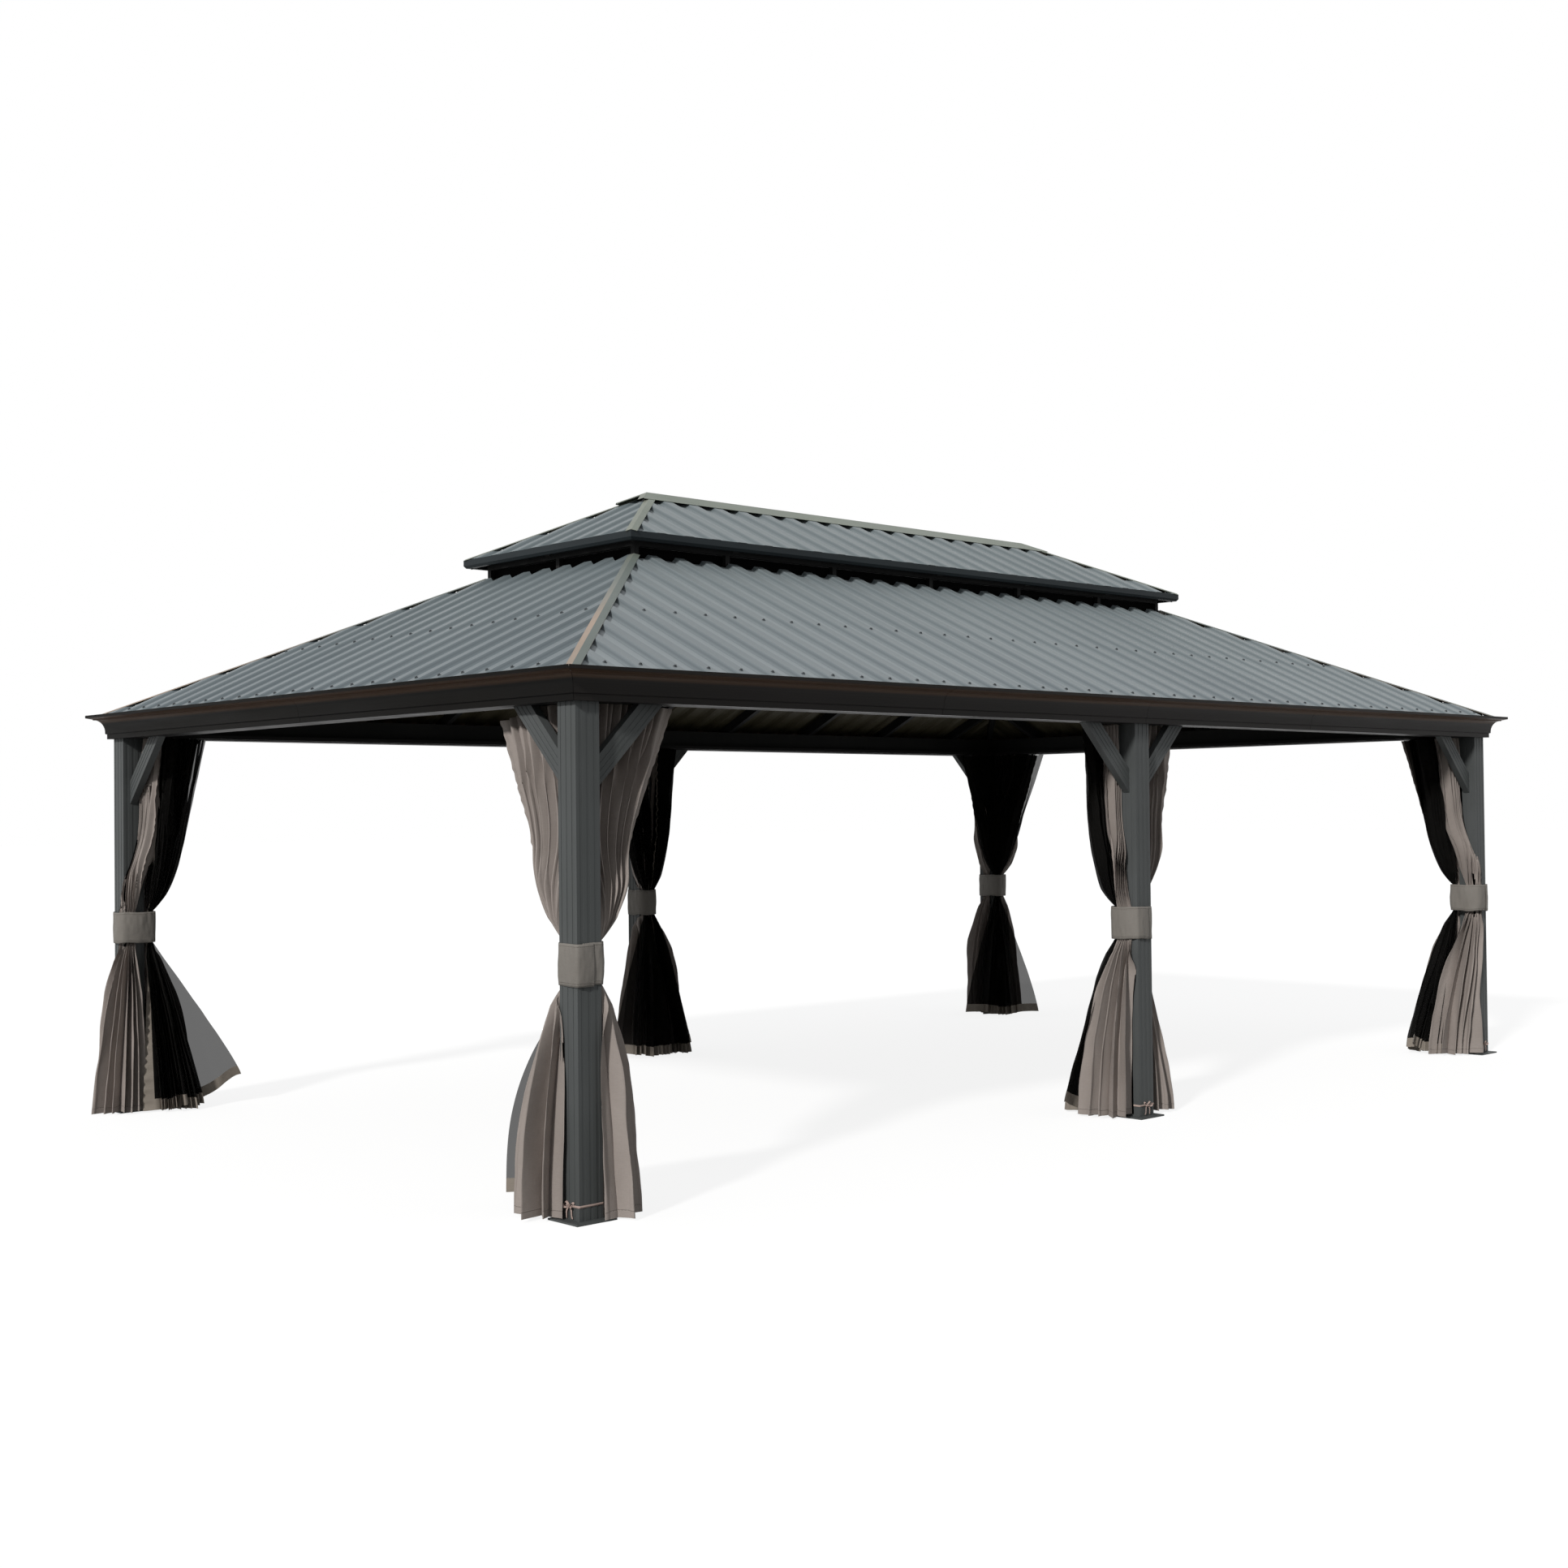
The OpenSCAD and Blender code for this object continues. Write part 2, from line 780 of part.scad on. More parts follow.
// Cloth of one side of a corner, drawn with the corner of the frame at the origin
corner_levels = [
    [hem_gap, cloth_start + gather_depth, corner_spread * 0.93,
        post_size / 6, cloth_start + gather_depth * 1.6],
    [tie_place * 0.25, cloth_start + gather_depth * 0.91, corner_spread * 0.82,
        post_size / 3, cloth_start + gather_depth * 1.42],
    [tie_place * 0.6, cloth_start + gather_depth * 0.68, corner_spread * 0.58,
        post_size * 0.62, cloth_start + gather_depth],
    [tie_place - 10, cloth_start + gather_depth * 0.4, bundle_end - 1.5,
        cloth_start + 2, cloth_start + gather_depth * 0.52],
    [tie_top + 10, cloth_start + gather_depth * 0.4, bundle_end - 1.5,
        cloth_start + 2, cloth_start + gather_depth * 0.52],
    [tie_top + (cloth_top - tie_top) * 0.35, cloth_start + gather_depth * 0.67, corner_spread * 0.62,
        cloth_start, cloth_start + gather_depth * 0.76],
    [tie_top + (cloth_top - tie_top) * 0.7, cloth_start + gather_depth, corner_spread * 0.88,
        cloth_start, cloth_start + gather_depth * 0.94],
    [cloth_top, cloth_start + gather_depth * 1.15, corner_spread, cloth_start, cloth_start + gather_depth]
];

module middle_curtain(j) {
    color(cloth)
        rotate([0, 0, j < 0 ? 0 : 180])
            translate([0, -half_y, 0])
                gathered(middle_levels);
}

// Turns a piece drawn for the front left corner to another corner
module corner(i, j) {
    mirror([i > 0 ? 1 : 0, 0, 0])
        mirror([0, j > 0 ? 1 : 0, 0])
            translate([-half_x, -half_y, 0])
                children();
}

module corner_curtain(i, j) {
    color(cloth)
        corner(i, j) {
            gathered(corner_levels);
            mirror([1, -1, 0])
                gathered(corner_levels);
        }
}

// Outlines of a tie band round a post and its cloth, grown by an offset
function middle_tie(o) = [
    [-post_size / 2 - o, -o],
    [post_size / 2 + o, -o],
    [post_size / 2 + o, bundle_end - 30],
    [post_size / 2 + o - 30, bundle_end + o],
    [-post_size / 2 - o + 30, bundle_end + o],
    [-post_size / 2 - o, bundle_end - 30]
];

function corner_tie(o) = [
    [-o, -o],
    [post_size + o, -o],
    [bundle_end + o, post_size - 20],
    [bundle_end + o, bundle_end - 30],
    [bundle_end - 30, bundle_end + o],
    [post_size - 20, bundle_end + o],
    [-o, post_size + o]
];

module tie(outer, inner) {
    translate([0, 0, tie_place])
        linear_extrude(tie_height)
            difference() {
                polygon(outer);
                polygon(inner);
            }
}

module curtain_ties() {
    clear = 0.5;
    color(band) {
        for (turn = [0, 180])
            rotate([0, 0, turn])
                translate([0, -half_y, 0])
                    tie(middle_tie(clear + tie_thick), middle_tie(clear));
        for (i = [-1, 1], j = [-1, 1])
            corner(i, j)
                tie(corner_tie(clear + tie_thick), corner_tie(clear));
    }
}

post_at(-1, -1);  // front_left_post
post_at(0, -1);  // front_middle_post
post_at(1, -1);  // front_right_post
post_at(-1, 1);  // back_left_post
post_at(0, 1);  // back_middle_post
post_at(1, 1);  // back_right_post
post_feet();
long_beam(0);  // front_beam
long_beam(2);  // back_beam
short_beam(3);  // left_beam
short_beam(1);  // right_beam
cornice(0);  // front_cornice
cornice(2);  // back_cornice
cornice(3);  // left_cornice
cornice(1);  // right_cornice
braces(0);  // front_braces
braces(2);  // back_braces
braces(3);  // left_braces
braces(1);  // right_braces
curtain_rails();
hip_rafters();
rafters();
purlins();
vent_frame();
lower_roof(0);  // front_lower_roof
lower_roof(2);  // back_lower_roof
lower_roof(3);  // left_lower_roof
lower_roof(1);  // right_lower_roof
lower_hip_caps();
upper_roof(0);  // front_upper_roof
upper_roof(2);  // back_upper_roof
upper_roof(3);  // left_upper_roof
upper_roof(1);  // right_upper_roof
upper_fascia();
upper_hip_caps();
ridge_cap();
upper_rafters();
corner_curtain(-1, -1);  // front_left_curtain
middle_curtain(-1);  // front_middle_curtain
corner_curtain(1, -1);  // front_right_curtain
corner_curtain(-1, 1);  // back_left_curtain
middle_curtain(1);  // back_middle_curtain
corner_curtain(1, 1);  // back_right_curtain
curtain_ties();
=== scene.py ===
import math

import bpy
import numpy as np
from mathutils import Matrix, Vector


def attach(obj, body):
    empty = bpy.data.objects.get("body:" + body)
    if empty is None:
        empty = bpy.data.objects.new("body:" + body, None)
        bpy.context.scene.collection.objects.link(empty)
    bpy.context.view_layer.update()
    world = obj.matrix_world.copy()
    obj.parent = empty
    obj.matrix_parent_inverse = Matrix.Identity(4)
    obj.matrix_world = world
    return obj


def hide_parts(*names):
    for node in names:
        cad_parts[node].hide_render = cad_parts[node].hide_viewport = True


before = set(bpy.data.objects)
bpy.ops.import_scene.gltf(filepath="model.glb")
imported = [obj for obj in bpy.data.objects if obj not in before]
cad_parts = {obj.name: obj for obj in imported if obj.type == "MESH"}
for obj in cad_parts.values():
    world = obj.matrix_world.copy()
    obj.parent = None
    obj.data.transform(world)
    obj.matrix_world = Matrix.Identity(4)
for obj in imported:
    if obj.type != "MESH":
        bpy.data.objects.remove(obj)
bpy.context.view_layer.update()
scene = bpy.context.scene
scene.view_settings.view_transform = "Standard"

# Sizes of the frame in metres, as the solids have them
HALF_X = 3.75
HALF_Y = 2.175
POST = 0.12
CORNICE = 0.117
EAVE_X = HALF_X + CORNICE
EAVE_Y = HALF_Y + CORNICE
ROOF_ANGLE = math.radians(25.4)
SLOPE = math.tan(ROOF_ANGLE)
RIB_PITCH = 0.185
RIB_CREST = 0.06
RIB_FOOT = 0.10
SHEET_COVER = 6 * RIB_PITCH
ROOF_Z = 2.2047
# Heights of the band of painted reflection in the cornice's cove
COVE_LOW = 2.187
COVE_TOP = 2.214
SCREW_ROWS = (0.105, 0.77)
VENT_X = 2.237
VENT_Y = 0.662
VENT_LOW = 2.9415
VENT_TOP = 3.0175
UPRIGHT = 0.03
VENT_SET = 0.004
TIE_LOW = 0.947
TIE_TOP = 1.119
CLOTH_TOP = 2.0985
HEM = 0.006


def srgb(text):
    """A web colour as the linear colour that a shader takes."""
    parts = [int(text[i : i + 2], 16) / 255 for i in (1, 3, 5)]
    linear = [c / 12.92 if c <= 0.04045 else ((c + 0.055) / 1.055) ** 2.4 for c in parts]
    return (*linear, 1.0)


# Materials


class Nodes:
    """A node material with a Principled shader, and short ways to add what feeds it."""

    def __init__(self, name):
        self.material = bpy.data.materials.new(name)
        self.material.use_nodes = True
        self.tree = self.material.node_tree
        self.shader = self.tree.nodes["Principled BSDF"]
        self.coords = self.tree.nodes.new("ShaderNodeTexCoord")

    def add(self, kind, **settings):
        node = self.tree.nodes.new(kind)
        for key, value in settings.items():
            setattr(node, key, value)
        return node

    def link(self, a, b):
        self.tree.links.new(a, b)

    def mapped(self, scale, source="Object"):
        node = self.add("ShaderNodeMapping")
        node.inputs["Scale"].default_value = scale
        self.link(self.coords.outputs[source], node.inputs["Vector"])
        return node.outputs["Vector"]

    def noise(self, scale, size=1.0, detail=3.0, rough=0.5, source="Object"):
        node = self.add("ShaderNodeTexNoise")
        node.inputs["Scale"].default_value = size
        node.inputs["Detail"].default_value = detail
        node.inputs["Roughness"].default_value = rough
        self.link(self.mapped(scale, source), node.inputs["Vector"])
        return node.outputs["Fac"]

    def math(self, operation, a, b=None, c=None, clamp=False):
        node = self.add("ShaderNodeMath", operation=operation, use_clamp=clamp)
        for socket, value in zip(node.inputs, (a, b, c)):
            if value is None:
                continue
            if isinstance(value, (int, float)):
                socket.default_value = value
            else:
                self.link(value, socket)
        return node.outputs[0]

    def remap(self, value, low, high, to_low, to_high):
        node = self.add("ShaderNodeMapRange")
        for key, number in zip(("From Min", "From Max", "To Min", "To Max"), (low, high, to_low, to_high)):
            node.inputs[key].default_value = number
        self.link(value, node.inputs["Value"])
        return node.outputs["Result"]

    def mix(self, factor, a, b, blend="MIX"):
        node = self.add("ShaderNodeMix", data_type="RGBA", blend_type=blend)
        for socket, value in ((node.inputs[0], factor), (node.inputs[6], a), (node.inputs[7], b)):
            if isinstance(value, (int, float, tuple)):
                socket.default_value = value
            else:
                self.link(value, socket)
        return node.outputs[2]

    def bump(self, height, strength, distance):
        node = self.add("ShaderNodeBump")
        node.inputs["Strength"].default_value = strength
        node.inputs["Distance"].default_value = distance
        self.link(height, node.inputs["Height"])
        self.link(node.outputs["Normal"], self.shader.inputs["Normal"])
        return node

    def set(self, **values):
        for key, value in values.items():
            self.shader.inputs[key.replace("_", " ")].default_value = value

    def normal_part(self, axis):
        geometry = self.add("ShaderNodeNewGeometry")
        split = self.add("ShaderNodeSeparateXYZ")
        self.link(geometry.outputs["True Normal"], split.inputs["Vector"])
        return split.outputs[axis]

    def place(self):
        split = self.add("ShaderNodeSeparateXYZ")
        self.link(self.coords.outputs["Object"], split.inputs["Vector"])
        return split.outputs


def painted(name, colour, dark, streak=(3, 3, 0.4), rough=(0.42, 0.56), grain=0.25, gloss=0.16, tint=None):
    """Powder-coated metal: fine orange-peel, faint streaks and a little dust."""
    m = Nodes(name)
    cloud = m.noise((1, 1, 1), 1.7, 4)
    run = m.noise(streak, 2.2, 5, 0.6)
    both = m.math("MULTIPLY", cloud, run)
    factor = m.remap(both, 0.12, 0.42, 0.0, 1.0)
    tone = m.mix(factor, srgb(dark), srgb(colour))
    if tint:
        tone = tint(m, tone)
    m.link(tone, m.shader.inputs["Base Color"])
    m.link(m.remap(run, 0.3, 0.7, *rough), m.shader.inputs["Roughness"])
    peel = m.noise((1, 1, 1), 420, 2)
    m.bump(peel, grain, 0.0006)
    m.set(Specular_IOR_Level=gloss)
    return m.material


def cove_painted_reflection(m, tone):
    """A painted reflection: a brown band in the cornice's cove, just under its lip."""
    z = m.place()["Z"]
    rising = m.remap(z, COVE_LOW - 0.006, COVE_LOW + 0.006, 0.0, 1.0)
    ending = m.remap(z, COVE_TOP - 0.002, COVE_TOP + 0.002, 1.0, 0.0)
    return m.mix(m.math("MULTIPLY", rising, ending), tone, srgb("#4f3d30"))


def flange_painted_light(m, tone):
    """Caps greyer on the lower roof, with warm painted light on the flanges that face its ends, most of it
    low down.
    """
    cloud = m.noise((1, 1, 1), 1.3, 3)
    height = m.place()["Z"]
    tone = m.mix(m.remap(height, 2.9, 3.0, 0.8, 0.0), tone, srgb("#616a68"))
    # Painted light: the flanges that face the roof's ends, warm as if sunlit, most of it low down.
    end_side = m.remap(m.math("ABSOLUTE", m.normal_part("X")), 0.2, 0.35, 0.0, 1.0)
    lower = m.remap(height, 2.5, 2.75, 1.0, 0.1)
    warm = m.math("MULTIPLY", m.math("MULTIPLY", end_side, lower), m.remap(cloud, 0.3, 0.6, 0.4, 0.9))
    return m.mix(warm, tone, srgb("#a08b7b"))


def roof_paint(name, along, lit, dim, under, line, rib_foot_shade_strength, crest_highlight_strength):
    """Ribbed roof sheet: each sheet a tone of its own, painted shade along the rib feet, a painted
    highlight on the crests, rain streaks, a dark back.
    """
    m = Nodes(name)
    x, y, z = m.place()
    across = x if along == "Y" else y
    sheet = m.math("FLOOR", m.math("ADD", m.math("DIVIDE", across, SHEET_COVER), 0.5))
    tone = m.add("ShaderNodeTexWhiteNoise", noise_dimensions="1D")
    m.link(sheet, tone.inputs["W"])
    stretch = (9, 0.5, 0.5) if along == "Y" else (0.5, 9, 0.5)
    streak = m.noise(stretch, 2.4, 6, 0.62)
    cloud = m.noise((1, 1, 1), 0.9, 4)
    value = m.math("MULTIPLY_ADD", tone.outputs["Value"], 0.2, m.math("MULTIPLY", streak, 0.6))
    value = m.math("ADD", value, m.math("MULTIPLY", cloud, 0.45))
    factor = m.remap(value, 0.38, 0.92, 0.0, 1.0)
    top = m.mix(factor, srgb(dim), srgb(lit))
    shifted = m.math("ADD", across, 100 * RIB_PITCH + RIB_PITCH / 2)
    from_crest = m.math("ABSOLUTE", m.math("SUBTRACT", m.math("MODULO", shifted, RIB_PITCH), RIB_PITCH / 2))
    at_foot = m.math("ABSOLUTE", m.math("SUBTRACT", from_crest, RIB_FOOT / 2 + 0.003))
    # Painted shade: dark lines along the rib feet, where the ribs' shadow lines fall.
    rib_foot_shade = m.remap(at_foot, 0.001, line, rib_foot_shade_strength, 0.0)
    top = m.mix(rib_foot_shade, top, srgb("#4d555a"))
    # Painted highlight: the rib crests lighter.
    crest_highlight = m.remap(from_crest, RIB_CREST / 2, RIB_CREST / 2 + 0.008, crest_highlight_strength, 0.0)
    top = m.mix(crest_highlight, top, srgb("#b4bcc0"))
    high = m.remap(z, 2.3, 2.8, 0.0, 0.16)
    top = m.mix(high, top, srgb("#566260"))
    back = m.math("LESS_THAN", m.normal_part("Z"), 0.0)
    m.link(m.mix(back, top, srgb(under)), m.shader.inputs["Base Color"])
    m.link(m.remap(streak, 0.3, 0.72, 0.42, 0.6), m.shader.inputs["Roughness"])
    dents = m.noise((1, 1, 1), 2.6, 2)
    fine = m.noise((1, 1, 1), 260, 2)
    m.bump(m.math("MULTIPLY_ADD", fine, 0.06, dents), 0.35, 0.004)
    m.set(Specular_IOR_Level=0.25)
    return m.material


def weave(name, colour, shade, sheen=0.06, rough=0.55, seam=None):
    """Woven polyester: fine threads both ways, uneven tone, satin sheen and a stitched hem."""
    m = Nodes(name)
    cloud = m.noise((1, 1, 0.5), 5, 4)
    slub = m.noise((14, 14, 160), 3, 2)
    factor = m.remap(m.math("MULTIPLY_ADD", slub, 0.3, cloud), 0.4, 0.9, 0.0, 1.0)
    tone = m.mix(factor, srgb(shade), srgb(colour))
    threads = m.noise((1, 1, 1.6), 620, 2, 0.7)
    puckers = m.noise((1, 1, 1.4), 26, 3)
    height = m.math("MULTIPLY_ADD", puckers, 2.2, threads)
    if seam:
        split = m.add("ShaderNodeSeparateXYZ")
        m.link(m.coords.outputs["UV"], split.inputs["Vector"])
        ways = (split.outputs["X"], split.outputs["Y"])
        for along, off in (ways, ways[::-1]):
            gap = m.math("ABSOLUTE", m.math("SUBTRACT", off, seam))
            groove = m.remap(gap, 0.001, 0.003, 1.0, 0.0)
            dash = m.math("GREATER_THAN", m.math("FRACT", m.math("DIVIDE", along, 0.007)), 0.35)
            tone = m.mix(m.math("MULTIPLY", groove, m.math("MULTIPLY", dash, 0.45)), tone, srgb("#5c5550"))
            height = m.math("MULTIPLY_ADD", groove, -3.0, height)
    m.link(tone, m.shader.inputs["Base Color"])
    m.bump(height, 0.5, 0.0012)
    m.link(m.remap(cloud, 0.3, 0.7, rough - 0.06, rough + 0.08), m.shader.inputs["Roughness"])
    m.set(Sheen_Weight=sheen, Sheen_Roughness=0.4, Specular_IOR_Level=0.15)
    return m.material


def netting(name):
    """Black mosquito net that lets a little of what lies behind it through."""
    m = Nodes(name)
    cloud = m.noise((1, 1, 0.4), 7, 3)
    m.link(m.mix(cloud, srgb("#0b0b0b"), srgb("#171615")), m.shader.inputs["Base Color"])
    threads = m.noise((1, 1, 1), 480, 2, 0.7)
    m.bump(threads, 0.4, 0.001)
    m.set(Roughness=0.75, Alpha=0.86, Specular_IOR_Level=0.05)
    return m.material


slate = painted("slate_paint", "#545758", "#474a4a")
# A darker copy of the slate paint for the rest of the frame, under and in the roof: painted shade.
slate_shaded = painted("slate_paint_shaded", "#2c2c2c", "#202020", gloss=0.05)
# Cornice paints: darker than the posts' slate, as painted shade for the downward-facing cove, with a band
# of painted reflection in it; the end cornices take a still darker copy, more painted shade.
cornice_shaded = painted("cornice_paint_shaded", "#242120", "#1b1917", streak=(0.5, 0.5, 6), rough=(0.34, 0.48), gloss=0.08,
                 tint=cove_painted_reflection)
cornice_end_shaded = painted("cornice_end_paint_shaded", "#131210", "#0d0c0b", streak=(0.5, 0.5, 6), rough=(0.4, 0.55),
                     gloss=0.04, tint=cove_painted_reflection)
fascia = painted("fascia_paint", "#2c3336", "#23282b", streak=(0.5, 0.5, 6), rough=(0.36, 0.5), gloss=0.1)
# Cap paint, with painted light on its end-facing flanges.
cap = painted("cap_paint", "#7f867c", "#6d756c", streak=(1, 1, 1), rough=(0.42, 0.55), tint=flange_painted_light)
# Lit and shaded copies of one roof paint: the long slopes painted lighter and the short slopes darker, for
# the light that falls on each. The short slopes also get narrower painted shade at the rib feet and a
# weaker painted highlight on the crests.
tin_long_lit = roof_paint("roof_paint_long_lit", "Y", "#878f92", "#727a7e", "#4b4636", 0.011, 0.62, 0.24)
tin_short_shaded = roof_paint("roof_paint_short_shaded", "X", "#747d81", "#5f686d", "#4b4636", 0.006, 0.5, 0.14)
steel = painted("screw_steel", "#4a4f52", "#393d40", rough=(0.35, 0.5))
taupe = weave("curtain_weave", "#9f9691", "#8a827d", seam=0.03)
cuff = weave("tie_weave", "#84807b", "#74706b", sheen=0.05, rough=0.6, seam=0.012)
trim = weave("border_weave", "#958d84", "#827a71", sheen=0.05, rough=0.6)
ribbon = weave("ribbon_weave", "#b7a39b", "#9d8a83", sheen=0.05, rough=0.6)
net = netting("net_mesh")
# Near-black paint for the sheet in the vent: painted shade.
vent_shade_paint = painted("vent_painted_shade", "#0c0c0c", "#060606", rough=(0.7, 0.85), grain=0.6, gloss=0.02)


def paint(node, material):
    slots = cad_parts[node].data.materials
    if len(slots) == 0:
        slots.append(material)
    for i in range(len(slots)):
        slots[i] = material


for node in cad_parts:
    if node.endswith("_post") or node.endswith("_braces") or node == "post_feet":
        paint(node, slate)
    elif node.endswith("_cornice"):
        # The end cornices take the darker, shaded copy: painted shade.
        paint(node, cornice_shaded if node.startswith(("front", "back")) else cornice_end_shaded)
    elif node == "upper_fascia":
        paint(node, fascia)
    elif node in ("lower_hip_caps", "upper_hip_caps", "ridge_cap"):
        paint(node, cap)
    elif node.endswith("_roof"):
        # The long slopes take the lighter, lit copy and the short slopes the darker, shaded one: painted
        # light and shade.
        paint(node, tin_long_lit if node.startswith(("front", "back")) else tin_short_shaded)
    # The rest of the frame takes the shaded copy of the slate: painted shade.
    elif not node.endswith("_curtain") and node != "curtain_ties":
        paint(node, slate_shaded)


# Meshes


def mesh_object(name, points, faces, materials, smooth=True, face_slots=None, uv=None):
    mesh = bpy.data.meshes.new(name)
    mesh.from_pydata([tuple(p) for p in points], [], [tuple(f) for f in faces])
    for m in materials:
        mesh.materials.append(m)
    if face_slots is not None:
        mesh.polygons.foreach_set("material_index", np.asarray(face_slots, dtype=np.int32))
    mesh.polygons.foreach_set("use_smooth", np.full(len(mesh.polygons), smooth))
    if uv is not None:
        corners = np.empty(len(mesh.loops), dtype=np.int32)
        mesh.loops.foreach_get("vertex_index", corners)
        layer = mesh.uv_layers.new(name="metres")
        layer.data.foreach_set("uv", np.asarray(uv, dtype=np.float32)[corners].ravel())
    mesh.update()
    obj = bpy.data.objects.new(name, mesh)
    scene.collection.objects.link(obj)
    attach(obj, "root")
    return obj


def grid_faces(rows, cols, wrap=False):
    grid = np.arange(rows * cols).reshape(rows, cols)
    if wrap:
        grid = np.concatenate((grid, grid[:, :1]), axis=1)
    corners = (grid[:-1, :-1], grid[:-1, 1:], grid[1:, 1:], grid[1:, :-1])
    return np.stack(corners, axis=-1).reshape(-1, 4)


class Place:
    """Turns local (along, inward) coordinates at a post to the frame's X and Y."""

    def __init__(self, x, y, along, inward):
        self.origin = np.array((x, y))
        self.along = np.array(along)
        self.inward = np.array(inward)

    def world(self, uv):
        return self.origin + uv[..., :1] * self.along + uv[..., 1:] * self.inward


def smooth_noise(rng, rows, cols, knots_r, knots_c):
    """A smooth random sheet between -1 and 1, from a coarse grid of seeded numbers."""
    coarse = rng.uniform(-1, 1, (knots_r + 2, knots_c + 2))

    def spread(grid, count):
        t = np.linspace(0, grid.shape[0] - 1.001, count)
        i = t.astype(int)
        f = t - i
        f = f * f * (3 - 2 * f)
        return grid[i] * (1 - f)[:, None] + grid[i + 1] * f[:, None]

    return spread(spread(coarse, rows).T, cols).T


def curve(points, s):
    """A smooth curve through plan points, read at even shares s of its length."""
    p = np.array(points, dtype=float)
    if len(p) == 2:
        return p[0] + (p[1] - p[0]) * s[:, None]
    ext = np.concatenate((2 * p[:1] - p[1:2], p, 2 * p[-1:] - p[-2:-1]))
    fine = []
    t = np.linspace(0, 1, 24, endpoint=False)[:, None]
    for a, b, c, d in zip(ext[:-3], ext[1:-2], ext[2:-1], ext[3:]):
        square = 2 * a - 5 * b + 4 * c - d
        cube = 3 * b - a - 3 * c + d
        fine.append(0.5 * (2 * b + (c - a) * t + square * t**2 + cube * t**3))
    fine = np.concatenate(fine + [p[-1:]])
    run = np.concatenate(((0,), np.cumsum(np.linalg.norm(np.diff(fine, axis=0), axis=1))))
    return np.stack([np.interp(s * run[-1], run, fine[:, k]) for k in (0, 1)], axis=-1)


def clear_of_post(uv, box, margin=0.005):
    """Moves points out of the post, to the sides its cloth hangs on rather than its outer faces."""
    u0, u1, v0, v1 = box
    u, v = uv[..., 0], uv[..., 1]
    gaps = np.stack((u - (u0 - margin), u1 + margin - u, v - (v0 - margin), v1 + margin - v))
    inside = (gaps > 0).all(axis=0)
    side = (gaps * np.array((3, 1, 3, 1)).reshape(-1, *[1] * u.ndim)).argmin(axis=0)
    walls = ((0, u0 - margin), (0, u1 + margin), (1, v0 - margin), (1, v1 + margin))
    for k, (axis, value) in enumerate(walls):
        hit = inside & (side == k)
        uv[..., axis][hit] = value
    return uv


# Curtains

COLS = 121
# Share of the cut width that the folds take up, before the room at each level limits them
SPREAD = 0.9
# Pencil pleats under the rail: the height they begin at, and over which they come in
HEADING_LOW = 1.62
HEADING_RUN = 0.36
# How far above and below the tie its hold is felt
TIE_GRIP = 0.3
# Gathered border down the edge of a sheet, the pitch of its gathers, and the border at a net's hem
BORDER = 0.06
RUFFLE = 0.058
NET_HEM = 0.055
# Levels of the mesh, and the deepest fold at some heights
LEVELS = np.concatenate((
    np.linspace(HEM, TIE_LOW, 46),
    np.linspace(TIE_LOW, TIE_TOP, 7)[1:],
    np.linspace(TIE_TOP, CLOTH_TOP, 54)[1:],
))
DEPTH_AT = (HEM, 0.5, TIE_LOW - 0.09, TIE_LOW, TIE_TOP, TIE_TOP + 0.09, 1.5, 1.75, CLOTH_TOP)
DEPTHS = {
    "fabric": (0.085, 0.076, 0.045, 0.012, 0.012, 0.042, 0.070, 0.056, 0.046),
    "net": (0.060, 0.055, 0.034, 0.010, 0.010, 0.034, 0.052, 0.044, 0.036),
}


def ease(t):
    t = np.clip(t, 0, 1)
    return t * t * (3 - 2 * t)


def share_out(s, cloth, path):
    """Even shares of the cloth, with its first and last parts spread over more of the path."""
    return np.interp(s, (0, cloth[0], 1 - cloth[1], 1), (0, path[0], 1 - path[1], 1))


def raised(v, floor, soft):
    """Lifts v above a floor, with a soft bend."""
    return floor + soft * np.logaddexp(0, (v - floor) / soft)


def behind(z, kind):
    """Least distance in from the beam's outer face, to hang behind the braces and, for a net, the cloth."""
    low, high = (-0.12, 0.088) if kind == "fabric" else (0.10, 0.162)
    rest = 1 - np.clip((z - TIE_TOP) / 0.54, 0, 1)
    return high - (high - low) * rest**2


